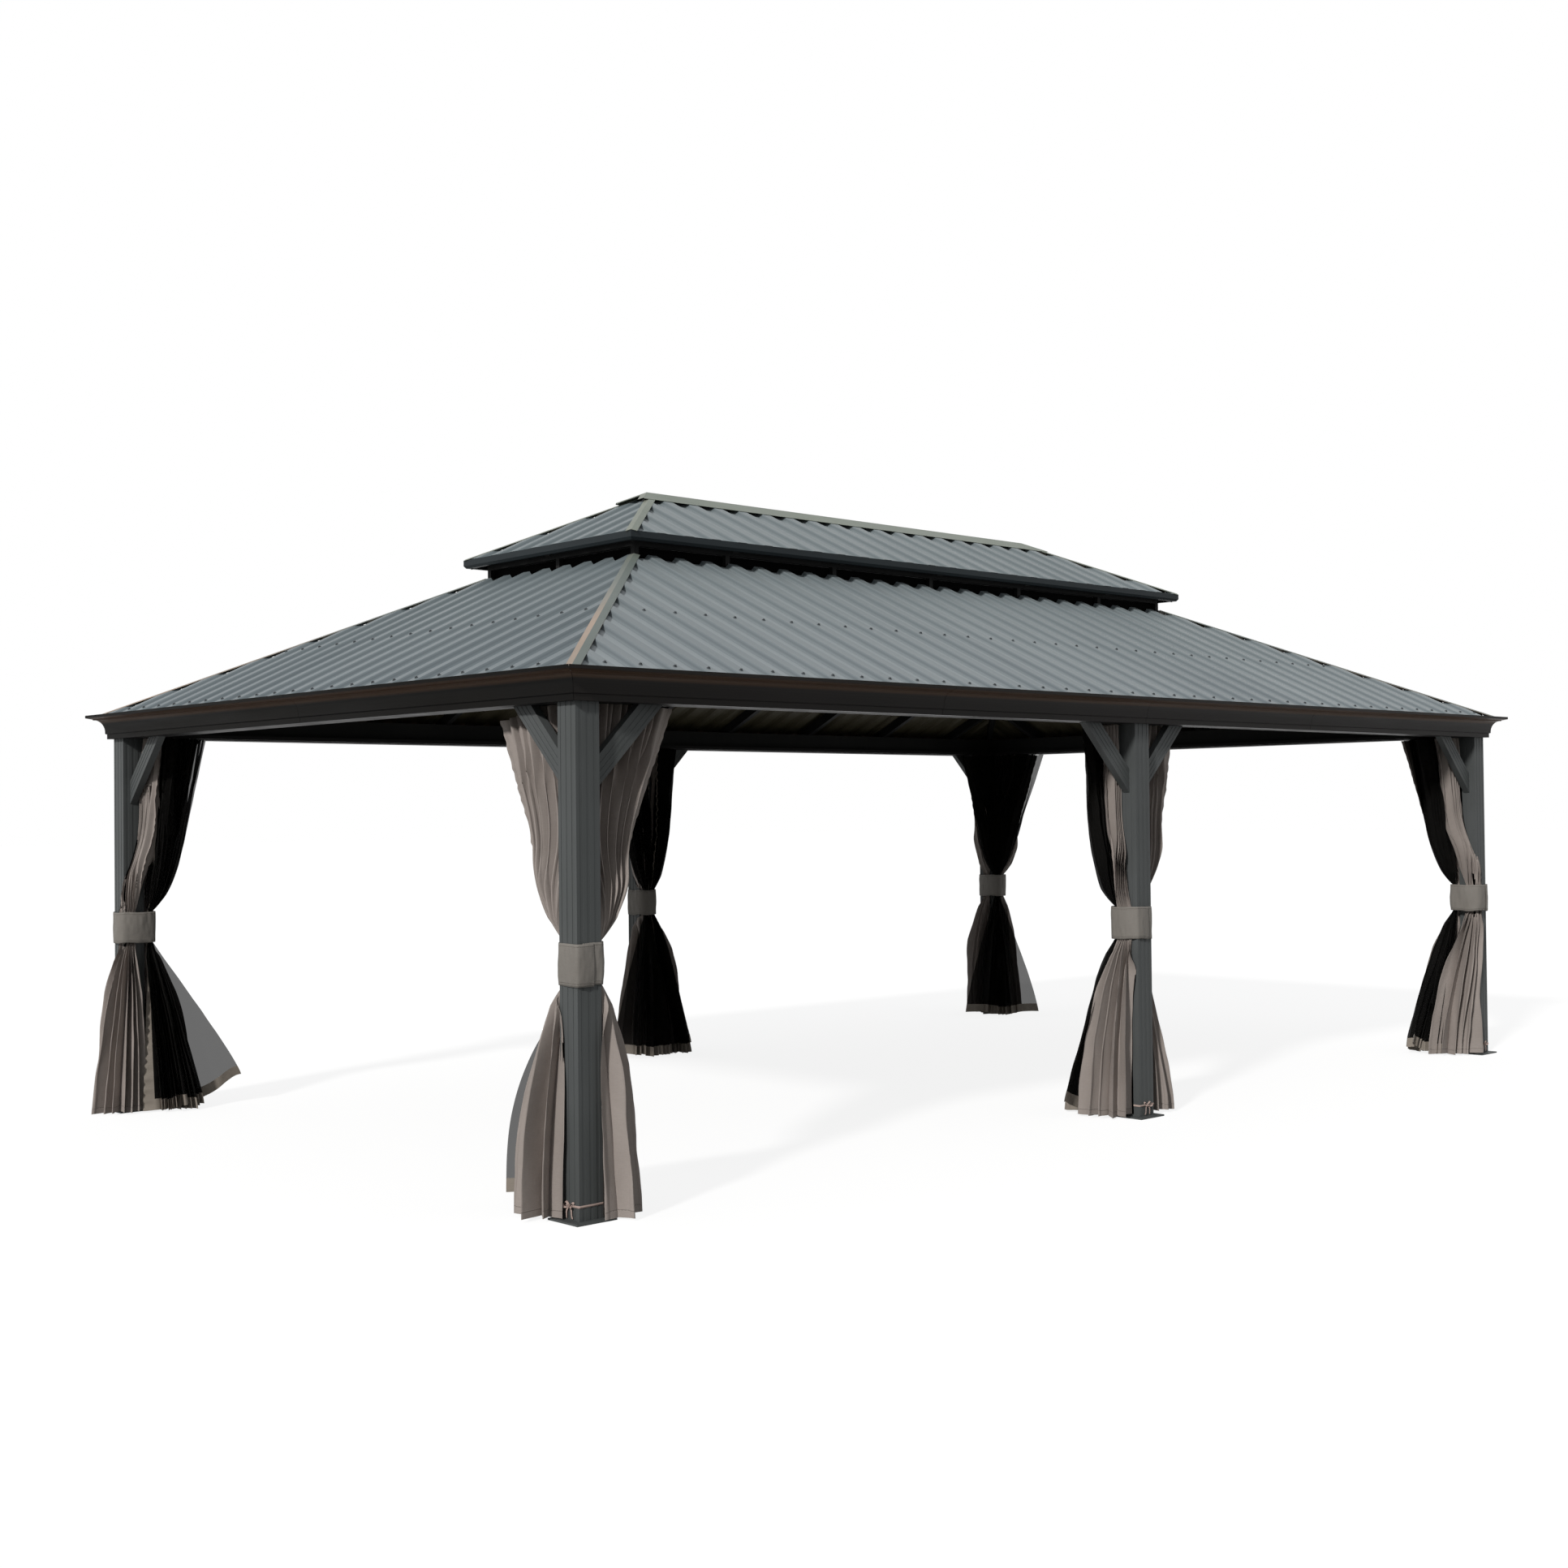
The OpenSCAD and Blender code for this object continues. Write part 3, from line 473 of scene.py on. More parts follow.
def drape(name, place, box, top, neck, hem, flat, kind, seed, folds, pull=0.2, flare=1.6, lift=0.0,
          droop=0.012, lead=(0.06, 0.16, 0.12), first=(0.0, 0.0), strips=(1,), widths=None, calm=0.07):
    """One gathered panel: pleated on its rail, held at the neck by the tie, flared to its hem.

    top, neck and hem are plan paths at the post, flat is the cut size, and strips lists the bordered edges.
    """
    rng = np.random.RandomState(seed)
    z = LEVELS
    rows = len(z)
    s = np.linspace(0, 1, COLS)
    widths = rng.uniform(0.6, 1.4, folds) if widths is None else np.array(widths)
    knots = np.concatenate(((0,), np.cumsum(widths) / widths.sum()))
    cloth, on_rail, on_floor = lead
    fold_at = np.interp((s - first[0]) / (1 - cloth - first[0]), knots, np.arange(folds + 1))
    depth = np.interp(fold_at, np.arange(folds) + 0.5, np.sqrt(widths / widths.mean()))
    up = np.clip((z - TIE_TOP) / (CLOTH_TOP - TIE_TOP), 0, 1)
    down = np.clip((TIE_LOW - z) / (TIE_LOW - HEM), 0, 1)
    w_up = (pull * (1 - (1 - up) ** 9) + (1 - pull) * up)[:, None, None]
    w_down = (1 - (1 - down) ** flare)[:, None, None]
    out = share_out(s, (first[0], cloth), (first[1], on_floor))
    p_top = curve(top, share_out(s, (0.0, cloth), (0.0, on_rail)))[None]
    p_neck = curve(neck, s)[None]
    p_hem = curve(hem, out)[None]
    path = p_neck + (p_top - p_neck) * w_up + (p_hem - p_neck) * w_down
    limit = np.interp(z, DEPTH_AT, DEPTHS[kind])
    floor = np.where(z > TIE_TOP, behind(z, kind), -1.0)[:, None]
    path[..., 1] = raised(path[..., 1], floor + 0.7 * limit[:, None], 0.015)
    along = np.gradient(path, axis=1)
    step = np.linalg.norm(along, axis=2)
    along /= step[..., None] + 1e-9
    normal = np.stack((-along[..., 1], along[..., 0]), axis=-1)
    wander = smooth_noise(rng, rows, COLS, 3, folds)
    phase = 2 * np.pi * (fold_at[None] + 0.10 * wander) + rng.uniform(0, 6.28)
    heading = 0.75 * ease((z - HEADING_LOW) / HEADING_RUN)[:, None]
    pleat = np.sin(2 * phase + 0.7)
    fold = np.sin(phase) + 0.28 * np.sin(2 * phase + 3 * wander) * smooth_noise(rng, rows, COLS, 3, folds)
    wave = (1 - heading) * fold + heading * pleat
    size = depth[None] * (1 + 0.35 * smooth_noise(rng, rows, COLS, 3, folds))
    flat_lead = ease((s - (1 - cloth)) / (0.6 * cloth))[None]
    hug = 0.25 + 0.75 * ease((s - first[0]) / calm)
    size = size * (1 - 0.9 * flat_lead) * hug[None]
    target = flat[0] * SPREAD
    lo, hi = np.zeros(rows), np.full(rows, 0.1)
    for _ in range(22):
        amp = (lo + hi) / 2
        uv = path + normal * (amp[:, None] * wave * size)[..., None]
        length = np.linalg.norm(np.diff(uv, axis=1), axis=2).sum(axis=1)
        lo = np.where(length < target, amp, lo)
        hi = np.where(length < target, hi, amp)
    amp = np.minimum(amp, limit)
    near = np.minimum(np.abs(z - TIE_LOW), np.abs(z - TIE_TOP))
    near[(z > TIE_LOW) & (z < TIE_TOP)] = 0
    free = ease(near / TIE_GRIP)[:, None]
    pitch = step * COLS / folds
    curl = np.sin(2 * phase) * 0.16 * pitch * (1 - heading) * (1 - flat_lead)
    uv = path + normal * (amp[:, None] * wave * size)[..., None] + along * curl[..., None]
    crease = np.exp(-(((near - 0.09) / 0.08) ** 2))[:, None]
    fine = np.sin(3 * phase + 2.5 * smooth_noise(rng, rows, COLS, 6, folds * 2)) * 0.0035 * crease
    buckle = smooth_noise(rng, rows, COLS, 11, folds * 2) * 0.0060 * free
    ripple = smooth_noise(rng, rows, COLS, 26, folds * 4) * 0.0026 * (0.3 + 0.7 * free)
    uv = uv + normal * (fine + buckle + ripple)[..., None]
    rim = BORDER / flat[0]
    edge = np.zeros(COLS)
    if 1 in strips:
        edge = edge + ease((s - 1 + 1.2 * rim) / rim)
    if 0 in strips:
        edge = edge + ease((1.2 * rim - s) / rim)
    ruffle = np.sin(z[:, None] * 2 * np.pi / RUFFLE + 5 * smooth_noise(rng, rows, COLS, 16, 3))
    gather = 0.008 if kind == "net" else 0.0028
    uv = uv + normal * (edge[None] * ruffle * gather * (0.15 + 0.85 * free))[..., None]
    if kind == "fabric":
        uv[..., 1] = raised(uv[..., 1], floor, 0.006)
    uv = clear_of_post(uv, box)
    xy = place.world(uv)
    sway = 0.007 * smooth_noise(rng, 1, COLS, 1, folds)[0]
    rise = lift * ease((out - 0.35) / 0.65) + 0.007 + sway
    fall = droop * ease((s - 0.6) / 0.4) + 0.004 * (1 - np.cos(2 * np.pi * 2 * fold_at))
    height = z[:, None] + (down**1.5)[:, None] * rise[None] - (up**3)[:, None] * fall[None]
    points = np.concatenate((xy, height[..., None]), axis=-1).reshape(-1, 3)
    quads = grid_faces(rows, COLS)
    chart_x = (1 - s)[None] * flat[0]
    chart = np.stack(np.broadcast_arrays(chart_x, (z - HEM)[:, None]), axis=-1).reshape(-1, 2)
    if kind == "net":
        border = np.zeros((rows - 1, COLS - 1), dtype=np.int32)
        border[z[:-1] < HEM + NET_HEM] = 1
        if 1 in strips:
            border[:, s[:-1] > 1 - rim] = 1
        if 0 in strips:
            border[:, s[1:] < rim] = 1
        obj = mesh_object(name, points, quads, (net, trim), face_slots=border.ravel(), uv=chart)
    else:
        obj = mesh_object(name, points, quads, (taupe,), uv=chart)
    return obj


CORNER_BOX = (0.0, POST, 0.0, POST)
MIDDLE_BOX = (-POST / 2, POST / 2, 0.0, POST)
# Cut sizes: half a bay wide, and the drop from the rail
LONG_FLAT = (1.80, 2.08)
SHORT_FLAT = (2.05, 2.08)
# The two rails, in from the beam's outer face
FABRIC_V = 0.130
NET_V = 0.198

CORNERS = {
    "front_left": (-1, -1),
    "front_right": (1, -1),
    "back_left": (-1, 1),
    "back_right": (1, 1),
}
PLAIN_NECK = [(0.128, 0.045), (0.152, 0.10)]
NET_NECK = [(0.130, 0.140), (0.156, 0.148)]
PLAIN_HEM = [(0.13, 0.04), (0.22, -0.03), (0.32, 0.03), (0.37, 0.13), (0.33, 0.22)]
# Each arm of a corner: how far the cloth and the net reach on the rail, their necks and hems in plan
ARMS = {
    ("front_left", "long"): dict(
        fabric=0.615, net=0.46, neck=[(0.126, 0.015), (0.160, 0.08)], pull=0.08, flare=1.15,
        hem=[(0.13, 0.02), (0.16, -0.05), (0.22, -0.02), (0.27, 0.08), (0.325, 0.12), (0.31, 0.24)],
        net_hem=[(0.18, 0.25), (0.26, 0.31), (0.33, 0.28)]),
    ("front_left", "short"): dict(
        fabric=0.735, net=0.52, neck=[(0.128, 0.03), (0.16, 0.09)], pull=0.3, flare=1.7, droop=0.05,
        hem=[(0.13, 0.02), (0.15, -0.05), (0.23, -0.09), (0.30, -0.02), (0.34, 0.06), (0.32, 0.15)],
        net_hem=[(0.19, 0.22), (0.36, 0.22), (0.555, 0.03)], net_lift=0.04, net_flare=2.6,
        net_lead=(0.16, 0.12, 0.4)),
    ("front_right", "long"): dict(
        start=0.108, fabric=0.37, net=0.50, neck=[(0.075, -0.016), (0.150, 0.06)],
        pull=0.05, flare=1.4, net_pull=0.35,
        hem=[(0.135, 0.075), (0.19, 0.045), (0.28, 0.08), (0.33, 0.15), (0.28, 0.24)],
        net_hem=[(0.22, 0.26), (0.30, 0.36), (0.36, 0.34), (0.47, 0.29)], net_lift=0.07),
    ("front_right", "short"): dict(
        start=0.165, fabric=0.52, net=0.46, hem=PLAIN_HEM,
        net_hem=[(0.16, 0.24), (0.24, 0.32), (0.33, 0.24)]),
    ("back_left", "long"): dict(
        fabric=0.44, net=0.455, hem=PLAIN_HEM, flare=1.25, net_pull=0.3,
        net_hem=[(0.15, 0.24), (0.25, 0.30), (0.40, 0.28), (0.635, 0.26)], net_lift=0.15,
        net_lead=(0.19, 0.06, 0.5)),
    ("back_left", "short"): dict(
        start=0.110, fabric=0.32, net=0.34, neck=[(0.085, -0.012), (0.148, 0.055)],
        folds=8, pull=0.1, flare=1.1, calm=0.4,
        widths=(1.7, 1.7, 0.9, 0.8, 0.8, 0.7, 0.7, 0.7),
        hem=[(0.0, -0.02), (0.01, -0.09), (0.09, -0.115), (0.18, -0.06), (0.185, 0.03), (0.15, 0.10)],
        net_hem=[(0.22, 0.085), (0.25, 0.15), (0.30, 0.23), (0.28, 0.32)], net_first=(0.034, 0.28)),
    ("back_right", "long"): dict(
        fabric=0.46, net=0.56, neck=[(0.126, 0.05), (0.138, 0.11)],
        net_neck=[(0.10, 0.175), (0.132, 0.168)],
        hem=[(0.13, 0.04), (0.17, 0.02), (0.25, 0.06), (0.28, 0.14), (0.24, 0.20)],
        net_hem=[(0.13, 0.30), (0.35, 0.38), (0.60, 0.25)]),
    ("back_right", "short"): dict(
        fabric=0.64, net=0.76, neck=[(0.15, 0.03), (0.195, 0.075)],
        net_neck=[(0.175, 0.105), (0.20, 0.112)],
        hem=[(0.14, 0.04), (0.20, 0.02), (0.29, 0.06), (0.32, 0.14), (0.28, 0.20)],
        net_hem=[(0.17, 0.29), (0.38, 0.36), (0.69, 0.22)]),
}
NET_LEAD = (0.14, 0.10, 0.3)

seed = 11
curtains = {}
for corner, (i, j) in CORNERS.items():
    pieces = []
    for arm in ("long", "short"):
        spec = ARMS[(corner, arm)]
        axes = ((-i, 0), (0, -j)) if arm == "long" else ((0, -j), (-i, 0))
        place = Place(i * HALF_X, j * HALF_Y, *axes)
        flat = LONG_FLAT if arm == "long" else SHORT_FLAT
        pieces.append(drape(
            f"{corner}_{arm}_curtain", place, CORNER_BOX,
            [(spec.get("start", 0.135), FABRIC_V), (spec["fabric"], FABRIC_V)],
            spec.get("neck", PLAIN_NECK), spec["hem"],
            flat, "fabric", seed, spec.get("folds", 6 if arm == "long" else 7), pull=spec.get("pull", 0.2),
            flare=spec.get("flare", 1.6), droop=spec.get("droop", 0.012), widths=spec.get("widths"),
            calm=spec.get("calm", 0.07)))
        pieces.append(drape(
            f"{corner}_{arm}_net", place, CORNER_BOX,
            [(0.15, NET_V), (spec["net"], NET_V)], spec.get("net_neck", NET_NECK), spec["net_hem"],
            flat, "net", seed + 1, 9, pull=spec.get("net_pull", 0.2), flare=spec.get("net_flare", 1.2),
            lift=spec.get("net_lift", 0.03), lead=spec.get("net_lead", NET_LEAD),
            first=spec.get("net_first", (0.0, 0.0)), strips=(0,)))
        seed += 2
    curtains[corner] = pieces

MIDDLES = {"front_middle": -1, "back_middle": 1}
MIDDLE_NECK = [(0.012, 0.132), (0.050, 0.128)]
MIDDLE_NET_NECK = [(0.010, 0.156), (0.046, 0.152)]
# Each side of a middle post, as for an arm of a corner
SIDES = {
    ("front_middle", -1): dict(
        fabric=0.155, net=0.24, pull=0.2, net_pull=0.5, neck=[(0.068, 0.03), (0.076, 0.12)],
        hem=[(0.07, 0.115), (0.12, 0.05), (0.19, 0.12), (0.19, 0.23), (0.11, 0.30)],
        net_hem=[(0.0, 0.37), (0.08, 0.43), (0.15, 0.37), (0.36, 0.27)], net_lift=0.08,
        net_lead=(0.16, 0.08, 0.55)),
    ("front_middle", 1): dict(
        fabric=0.47, net=0.25, pull=0.5,
        hem=[(0.07, 0.115), (0.15, 0.05), (0.26, 0.08), (0.30, 0.17), (0.20, 0.27)],
        net_hem=[(0.02, 0.36), (0.12, 0.41), (0.21, 0.36)]),
    ("back_middle", -1): dict(
        fabric=0.19, net=0.205,
        hem=[(0.065, 0.115), (0.11, 0.07), (0.17, 0.11), (0.18, 0.19), (0.11, 0.26)],
        net_hem=[(0.0, 0.36), (0.07, 0.42), (0.13, 0.38), (0.225, 0.31)], net_lift=0.05,
        net_lead=(0.16, 0.08, 0.5)),
    ("back_middle", 1): dict(
        fabric=0.26, net=0.40,
        hem=[(0.065, 0.115), (0.13, 0.07), (0.20, 0.10), (0.22, 0.19), (0.14, 0.26)],
        net_hem=[(0.02, 0.36), (0.16, 0.43), (0.30, 0.40), (0.45, 0.31)]),
}
for middle, j in MIDDLES.items():
    pieces = []
    for side in (-1, 1):
        spec = SIDES[(middle, side)]
        place = Place(0, j * HALF_Y, (-j * side, 0), (0, -j))
        word = "left" if side * -j < 0 else "right"
        pieces.append(drape(
            f"{middle}_{word}_curtain", place, MIDDLE_BOX,
            [(0.05, 0.135), (0.10, FABRIC_V), (spec["fabric"], FABRIC_V)],
            spec.get("neck", MIDDLE_NECK), spec["hem"],
            LONG_FLAT, "fabric", seed, 7, pull=spec.get("pull", 0.2), flare=1.5))
        pieces.append(drape(
            f"{middle}_{word}_net", place, MIDDLE_BOX,
            [(0.04, NET_V), (spec["net"], NET_V)], MIDDLE_NET_NECK, spec["net_hem"],
            LONG_FLAT, "net", seed + 1, 9, pull=spec.get("net_pull", 0.2), flare=1.2,
            lift=spec.get("net_lift", 0.03), lead=spec.get("net_lead", NET_LEAD), strips=(0,)))
        seed += 2
    curtains[middle] = pieces

for post, pieces in curtains.items():
    for piece in pieces:
        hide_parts(f"{post}_curtain")


# Tie bands


def step_towards(here, end, reach):
    """A point on the way from here to end, at most half way."""
    gap = np.linalg.norm(end - here)
    return here + (end - here) / gap * min(reach, gap / 2)


def rounded(points, radius):
    """A closed outline with its corners rounded, as a fine polyline."""
    p = np.array(points, dtype=float)
    out = []
    for k in range(len(p)):
        before, here, after = p[k - 1], p[k], p[(k + 1) % len(p)]
        r = radius[k] if isinstance(radius, (list, tuple)) else radius
        a = step_towards(here, before, r)
        b = step_towards(here, after, r)
        for t in np.linspace(0, 1, 7):
            out.append((1 - t) ** 2 * a + 2 * t * (1 - t) * here + t**2 * b)
    return np.array(out)


LAP = 0.055


def tie_band(name, place, outline, radius, start, seed):
    """A cloth cuff round a post and its gathered curtains, lapped over itself at one place."""
    rng = np.random.RandomState(seed)
    ring = rounded(outline, radius)
    ring = np.concatenate((ring, ring[:1]))
    run = np.concatenate(((0,), np.cumsum(np.linalg.norm(np.diff(ring, axis=0), axis=1))))
    around = run[-1]
    cols, rows = 200, 15
    d = np.linspace(0, around + LAP, cols)
    at = (d + start * around) % around
    line = np.stack([np.interp(at, run, ring[:, k]) for k in (0, 1)], axis=-1)
    ahead = np.stack([np.interp((at + 0.004) % around, run, ring[:, k]) for k in (0, 1)], axis=-1)
    back = np.stack([np.interp((at - 0.004) % around, run, ring[:, k]) for k in (0, 1)], axis=-1)
    tangent = ahead - back
    tangent /= np.linalg.norm(tangent, axis=1, keepdims=True)
    out = np.stack((tangent[:, 1], -tangent[:, 0]), axis=-1)
    lapped = np.clip((d - around + 0.03) / 0.03, 0, 1) * 0.0045
    rise = np.linspace(0, 1, rows)
    belly = 0.0028 * np.sin(np.pi * rise)[:, None]
    wrinkle = 0.0017 * smooth_noise(rng, rows, cols, 3, 40) + 0.0022 * smooth_noise(rng, rows, cols, 1, 14)
    away = 0.004 + lapped[None] + belly + wrinkle
    xy = place.world(line[None] + out[None] * away[..., None])
    tilt = 0.004 * smooth_noise(rng, 1, cols, 1, 10)[0]
    z = TIE_LOW + (TIE_TOP - TIE_LOW) * rise[:, None] + tilt[None] * (1 - 0.4 * rise[:, None])
    points = np.concatenate((xy, z[..., None]), axis=-1).reshape(-1, 3)
    high = TIE_TOP - TIE_LOW
    inset = high * np.minimum(rise, 1 - rise)[:, None]
    chart = np.stack(np.broadcast_arrays(d[None], inset), axis=-1).reshape(-1, 2)
    obj = mesh_object(name, points, grid_faces(rows, cols), (cuff,), uv=chart)
    thick = obj.modifiers.new("thick", "SOLIDIFY")
    thick.thickness = 0.0024
    thick.offset = 0
    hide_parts("curtain_ties")
    return obj


# Outlines of the bands round a post and its bundle, in plan, and the rounding of their corners
GAP = 0.0005
SHARP = [0.006, 0.006, 0.03, 0.03, 0.03, 0.03, 0.03, 0.03, 0.006]
CORNER_TIE = [
    (-GAP, -GAP), (POST + GAP, -GAP), (0.158, 0.04), (0.172, 0.09), (0.168, 0.150),
    (0.150, 0.168), (0.09, 0.172), (0.04, 0.158), (-GAP, POST + GAP),
]
WRAPPED_TIE = [
    (-GAP, -GAP), (0.06, -0.030), (0.145, -0.026), (0.172, 0.05), (0.168, 0.150),
    (0.150, 0.168), (0.09, 0.172), (0.04, 0.158), (-GAP, POST + GAP),
]
SIDE_WRAPPED_TIE = [(b, a) for a, b in WRAPPED_TIE[::-1]]
HALF = POST / 2 + GAP
MIDDLE_TIE = [
    (-HALF, -GAP), (HALF, -GAP), (HALF + 0.002, POST), (HALF, 0.145),
    (HALF - 0.02, 0.168), (-HALF + 0.02, 0.168), (-HALF, 0.145), (-HALF - 0.002, POST),
]
MIDDLE_SHARP = [0.006, 0.006, 0.04, 0.02, 0.02, 0.02, 0.02, 0.04]
SIDEWAYS_TIE = [
    (-GAP, -GAP), (POST + GAP, -GAP), (0.140, 0.04), (0.148, 0.10), (0.144, 0.18),
    (0.128, 0.212), (0.08, 0.216), (0.03, 0.20), (-GAP, POST + GAP),
]
FRONT_MIDDLE_TIE = [
    (-HALF, -GAP), (HALF, -GAP), (HALF + 0.002, POST), (HALF, 0.145),
    (HALF - 0.02, 0.168), (-HALF, 0.168), (-HALF - 0.022, 0.145), (-HALF - 0.026, 0.06),
]
TIES = {"front_right": WRAPPED_TIE, "back_left": SIDE_WRAPPED_TIE, "back_right": SIDEWAYS_TIE,
        "front_middle": FRONT_MIDDLE_TIE}
for corner, (i, j) in CORNERS.items():
    place = Place(i * HALF_X, j * HALF_Y, (-i, 0), (0, -j))
    tie_band(f"{corner}_band", place, TIES.get(corner, CORNER_TIE), SHARP, 0.045, 70 + i + 3 * j)
for middle, j in MIDDLES.items():
    tie_band(f"{middle}_band", Place(0, j * HALF_Y, (-j, 0), (0, -j)), TIES.get(middle, MIDDLE_TIE),
             MIDDLE_SHARP, 0.06, 80 + j)


# Ribbons at the feet of the posts


def strip(points, ups, width):
    """A flat strip along 3-D points, its width along ups."""
    p = np.array(points, dtype=float)
    u = np.array(ups, dtype=float)
    return np.concatenate((p - u * width / 2, p + u * width / 2)), grid_faces(2, len(p))


RIBBON_Z = 0.066
RIBBON = 0.010


def ribbon_tie(name, x, y, side):
    """A narrow ribbon round the foot of a post, tied in a bow on one face."""
    reach = POST / 2 + 0.0012
    ring = rounded([(-reach, -reach), (reach, -reach), (reach, reach), (-reach, reach)], 0.004)
    ring = np.concatenate((ring, ring[:1]))
    loop = [(a, b, RIBBON_Z + 0.0015 * math.sin(9 * a + 7 * b)) for a, b in ring]
    parts = [strip(loop, [(0, 0, 1)] * len(loop), RIBBON)]
    t = np.linspace(0, 1, 12)
    for way in (-1, 1):
        tail = [
            (way * (0.004 + 0.02 * a + 0.004 * math.sin(5 * a)),
             -reach - 0.003 - 0.004 * math.sin(3 * a),
             RIBBON_Z - 0.052 * a)
            for a in t
        ]
        parts.append(strip(tail, [(0.9, 0, 0.35 * way)] * 12, RIBBON))
        ear = [
            (way * 0.030 * math.sin(math.pi * a),
             -reach - 0.004 - 0.012 * math.sin(math.pi * a) ** 2 * (a > 0.5),
             RIBBON_Z + 0.011 * math.sin(2 * math.pi * a) + 0.006 * math.sin(math.pi * a))
            for a in t
        ]
        parts.append(strip(ear, [(0.1, 0.75, 0.6)] * 12, RIBBON))
    knot = [
        (0.007 * math.cos(a), -reach - 0.005 - 0.004 * abs(math.sin(a)), RIBBON_Z + 0.006 * math.sin(a))
        for a in np.linspace(0, 2 * math.pi, 13)
    ]
    parts.append(strip(knot, [(0.5, -0.8, 0.2)] * 13, 0.008))
    points, faces, base = [], [], 0
    turn = math.radians(90 * side)
    for pts, quads in parts:
        spun = pts.copy()
        spun[:, 0] = x + pts[:, 0] * math.cos(turn) - pts[:, 1] * math.sin(turn)
        spun[:, 1] = y + pts[:, 0] * math.sin(turn) + pts[:, 1] * math.cos(turn)
        points.append(spun)
        faces.append(quads + base)
        base += len(pts)
    obj = mesh_object(name, np.concatenate(points), np.concatenate(faces), (ribbon,))
    thick = obj.modifiers.new("thick", "SOLIDIFY")
    thick.thickness = 0.0008
    thick.offset = 0
    return obj


POST_X = HALF_X - POST / 2
POST_Y = HALF_Y - POST / 2
for name, (i, j) in {**CORNERS, "front_middle": (0, -1), "back_middle": (0, 1)}.items():
    face = 3 if i < 0 else (0 if j < 0 else 2)
    ribbon_tie(f"{name}_ribbon", i * POST_X, j * POST_Y, face)


# Near-black sheet in the vent as painted shade, and the screws of the lower roof


def vent_shade_sheet():
    """A near-black sheet that runs round the vent, set a little into its uprights: painted shade for the
    dark gap under the upper roof.
    """
    x, y = VENT_X - UPRIGHT + VENT_SET, VENT_Y - UPRIGHT + VENT_SET
    ring = rounded([(-x, -y), (x, -y), (x, y), (-x, y)], 0.0004)
    ring = np.concatenate((ring, ring[:1]))
    rows = np.linspace(VENT_LOW, VENT_TOP, 4)
    points = [(a, b, z) for z in rows for a, b in ring]
    obj = mesh_object("vent_shade_sheet", points, grid_faces(4, len(ring)), (vent_shade_paint,))


def screw_shape():
    """A hex-head roofing screw with its washer, standing on z = 0: rings of points, then its faces."""
    rings = []
    angles = np.arange(12) * 2 * math.pi / 12
    for radius, z in ((0.0095, 0.0), (0.0095, 0.0012), (0.0065, 0.0028)):
        rings.append([(radius * math.cos(a), radius * math.sin(a), z) for a in angles])
    for radius, z in ((0.0058, 0.0028), (0.0058, 0.0065), (0.0044, 0.0078)):
        corner = [(radius * math.cos(a), radius * math.sin(a)) for a in np.arange(6) * math.pi / 3]
        both = []
        for k in range(6):
            a, b = corner[k], corner[(k + 1) % 6]
            both += [(*a, z), ((a[0] + b[0]) / 2, (a[1] + b[1]) / 2, z)]
        rings.append(both)
    points = np.array([p for r in rings for p in r])
    faces = [tuple(f) for f in grid_faces(len(rings), 12, wrap=True)]
    faces.append(tuple(range(len(points) - 12, len(points))))
    return points, faces


def roof_screws():
    """Rows of screws on the rib crests of the lower roof, one slope after another."""
    shape, faces = screw_shape()
    points, all_faces = [], []
    for k, (half, back) in enumerate(((EAVE_X, EAVE_Y), (EAVE_Y, EAVE_X)) * 2):
        turn = np.array(Matrix.Rotation(math.radians(90 * k), 3, "Z"))
        tilt = np.array(Matrix.Rotation(ROOF_ANGLE, 3, "X"))
        for d in SCREW_ROWS:
            count = int((half - d) / RIB_PITCH) + 1
            for n in range(-count, count):
                x = (n + 0.5) * RIB_PITCH
                if abs(x) > half - d - 0.06:
                    continue
                spot = np.array((x, -back + d, ROOF_Z + SLOPE * d + 0.0001))
                placed = (shape @ tilt.T + spot) @ turn.T
                base = len(points) * len(shape)
                points.append(placed)
                all_faces += [tuple(i + base for i in f) for f in faces]
    obj = mesh_object("roof_screws", np.concatenate(points), all_faces, (steel,), smooth=False)


vent_shade_sheet()
roof_screws()


# Stage, light and camera


def seen_directly(tree):
    """1 for a ray from the camera, off a glossy surface or through a clear one, else 0."""
    path = tree.nodes.new("ShaderNodeLightPath")
    either = tree.nodes.new("ShaderNodeMath")
    either.operation = "MAXIMUM"
    tree.links.new(path.outputs["Is Camera Ray"], either.inputs[0])
    tree.links.new(path.outputs["Is Transmission Ray"], either.inputs[1])
    seen = tree.nodes.new("ShaderNodeMath")
    seen.operation = "MAXIMUM"
    tree.links.new(either.outputs[0], seen.inputs[0])
    tree.links.new(path.outputs["Is Glossy Ray"], seen.inputs[1])
    return seen


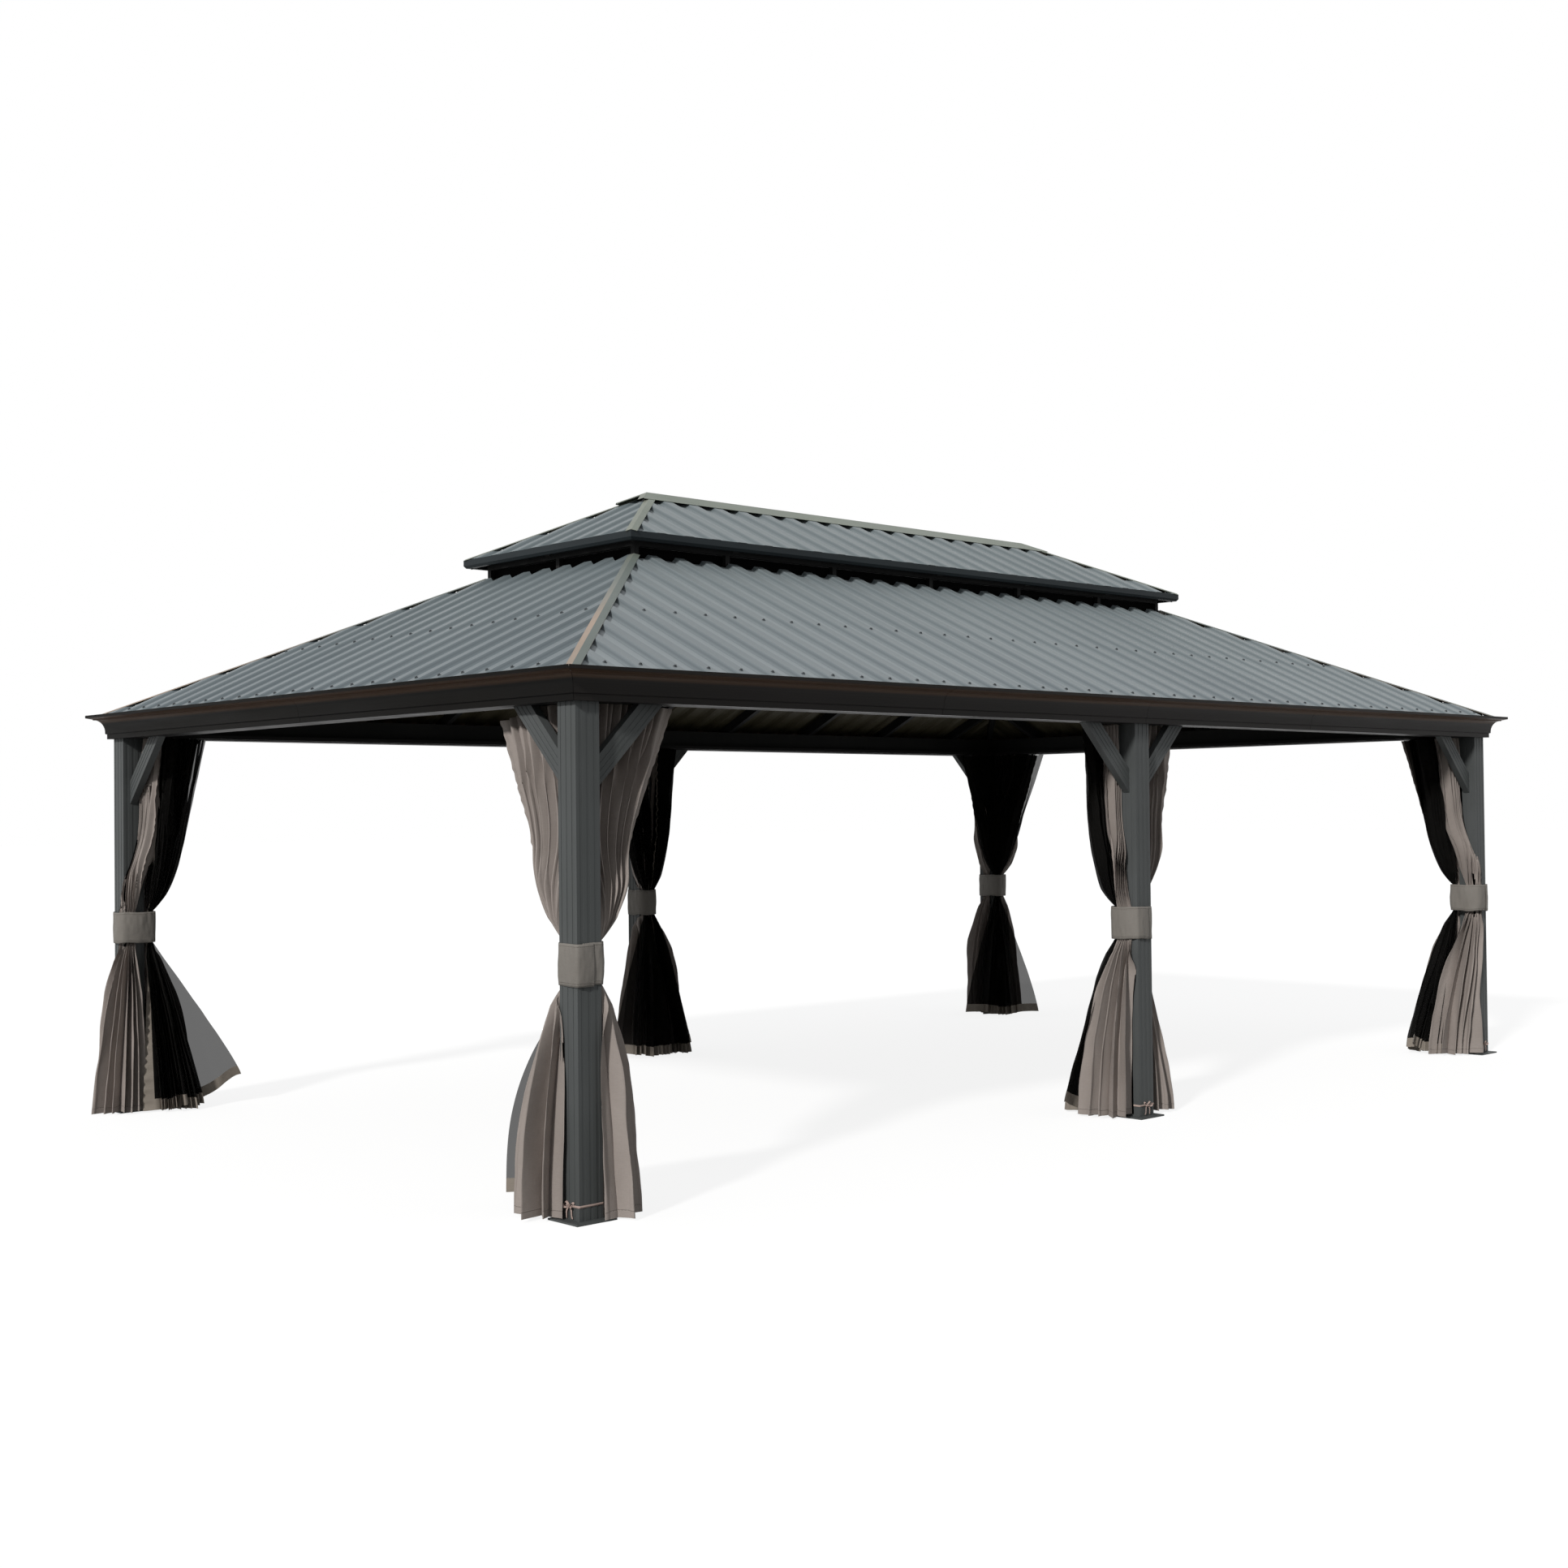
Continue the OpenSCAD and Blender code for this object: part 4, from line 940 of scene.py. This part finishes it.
def floor_material():
    """White where it is looked at, with the object's shadow, and a mid grey in the light it throws back."""
    material = bpy.data.materials.new("floor_pale")
    material.use_nodes = True
    tree = material.node_tree
    tree.nodes.clear()
    out = tree.nodes.new("ShaderNodeOutputMaterial")
    seen = seen_directly(tree)
    glow = tree.nodes.new("ShaderNodeEmission")
    glow.inputs["Color"].default_value = (1, 1, 1, 1)
    glow.inputs["Strength"].default_value = 0.86
    pale = tree.nodes.new("ShaderNodeBsdfDiffuse")
    pale.inputs["Color"].default_value = (0.2, 0.2, 0.2, 1)
    both = tree.nodes.new("ShaderNodeAddShader")
    tree.links.new(glow.outputs[0], both.inputs[0])
    tree.links.new(pale.outputs[0], both.inputs[1])
    plain = tree.nodes.new("ShaderNodeBsdfDiffuse")
    plain.inputs["Color"].default_value = (0.26, 0.26, 0.25, 1)
    mix = tree.nodes.new("ShaderNodeMixShader")
    tree.links.new(seen.outputs[0], mix.inputs[0])
    tree.links.new(plain.outputs[0], mix.inputs[1])
    tree.links.new(both.outputs[0], mix.inputs[2])
    tree.links.new(mix.outputs[0], out.inputs["Surface"])
    return material


def set_world():
    """Soft even light, and plain white where it is looked at."""
    world = bpy.data.worlds.new("studio")
    scene.world = world
    world.use_nodes = True
    tree = world.node_tree
    tree.nodes.clear()
    out = tree.nodes.new("ShaderNodeOutputWorld")
    seen = seen_directly(tree)
    soft = tree.nodes.new("ShaderNodeBackground")
    soft.inputs["Color"].default_value = (0.97, 0.985, 1.0, 1)
    soft.inputs["Strength"].default_value = 0.42
    white = tree.nodes.new("ShaderNodeBackground")
    white.inputs["Color"].default_value = (1, 1, 1, 1)
    white.inputs["Strength"].default_value = 1.0
    mix = tree.nodes.new("ShaderNodeMixShader")
    tree.links.new(seen.outputs[0], mix.inputs[0])
    tree.links.new(soft.outputs[0], mix.inputs[1])
    tree.links.new(white.outputs[0], mix.inputs[2])
    tree.links.new(mix.outputs[0], out.inputs["Surface"])


def sun(name, towards, strength, spread, colour):
    """A far lamp that shines towards a direction, its spread in degrees."""
    lamp = bpy.data.lights.new(name, "SUN")
    lamp.energy = strength
    lamp.angle = math.radians(spread)
    lamp.color = colour
    obj = bpy.data.objects.new(name, lamp)
    obj.rotation_euler = Vector(towards).to_track_quat("-Z", "Y").to_euler()
    scene.collection.objects.link(obj)


CAMERA_AT = (-8.3981, -8.4074, 1.6279)
CAMERA_TURN = (-42.882, 0.917, -0.584)
CAMERA_LENS = 44.247


def set_camera():
    """The photograph's viewpoint, fitted to the posts, cornice, hips and ridge."""
    yaw, pitch, roll = (math.radians(a) for a in CAMERA_TURN)
    ahead = Vector((-math.sin(yaw) * math.cos(pitch), math.cos(yaw) * math.cos(pitch), math.sin(pitch)))
    level = Vector((math.cos(yaw), math.sin(yaw), 0))
    above = level.cross(ahead)
    right = level * math.cos(roll) + above * math.sin(roll)
    up = above * math.cos(roll) - level * math.sin(roll)
    turn = Matrix((right, up, -ahead)).transposed().to_4x4()
    data = bpy.data.cameras.new("camera")
    data.sensor_width = 36
    data.sensor_fit = "HORIZONTAL"
    data.lens = CAMERA_LENS
    data.clip_end = 300
    obj = bpy.data.objects.new("camera", data)
    obj.matrix_world = Matrix.Translation(CAMERA_AT) @ turn
    scene.collection.objects.link(obj)
    scene.camera = obj


set_world()
sun("key", (0.82, 0.29, -0.49), 2.7, 5, (1.0, 0.98, 0.95))
set_camera()
ground = bpy.data.meshes.new("floor")
reach = 120
square = [(-reach, -reach, 0), (reach, -reach, 0), (reach, reach, 0), (-reach, reach, 0)]
ground.from_pydata(square, [], [(0, 1, 2, 3)])
ground.materials.append(floor_material())
floor = bpy.data.objects.new("floor", ground)
scene.collection.objects.link(floor)
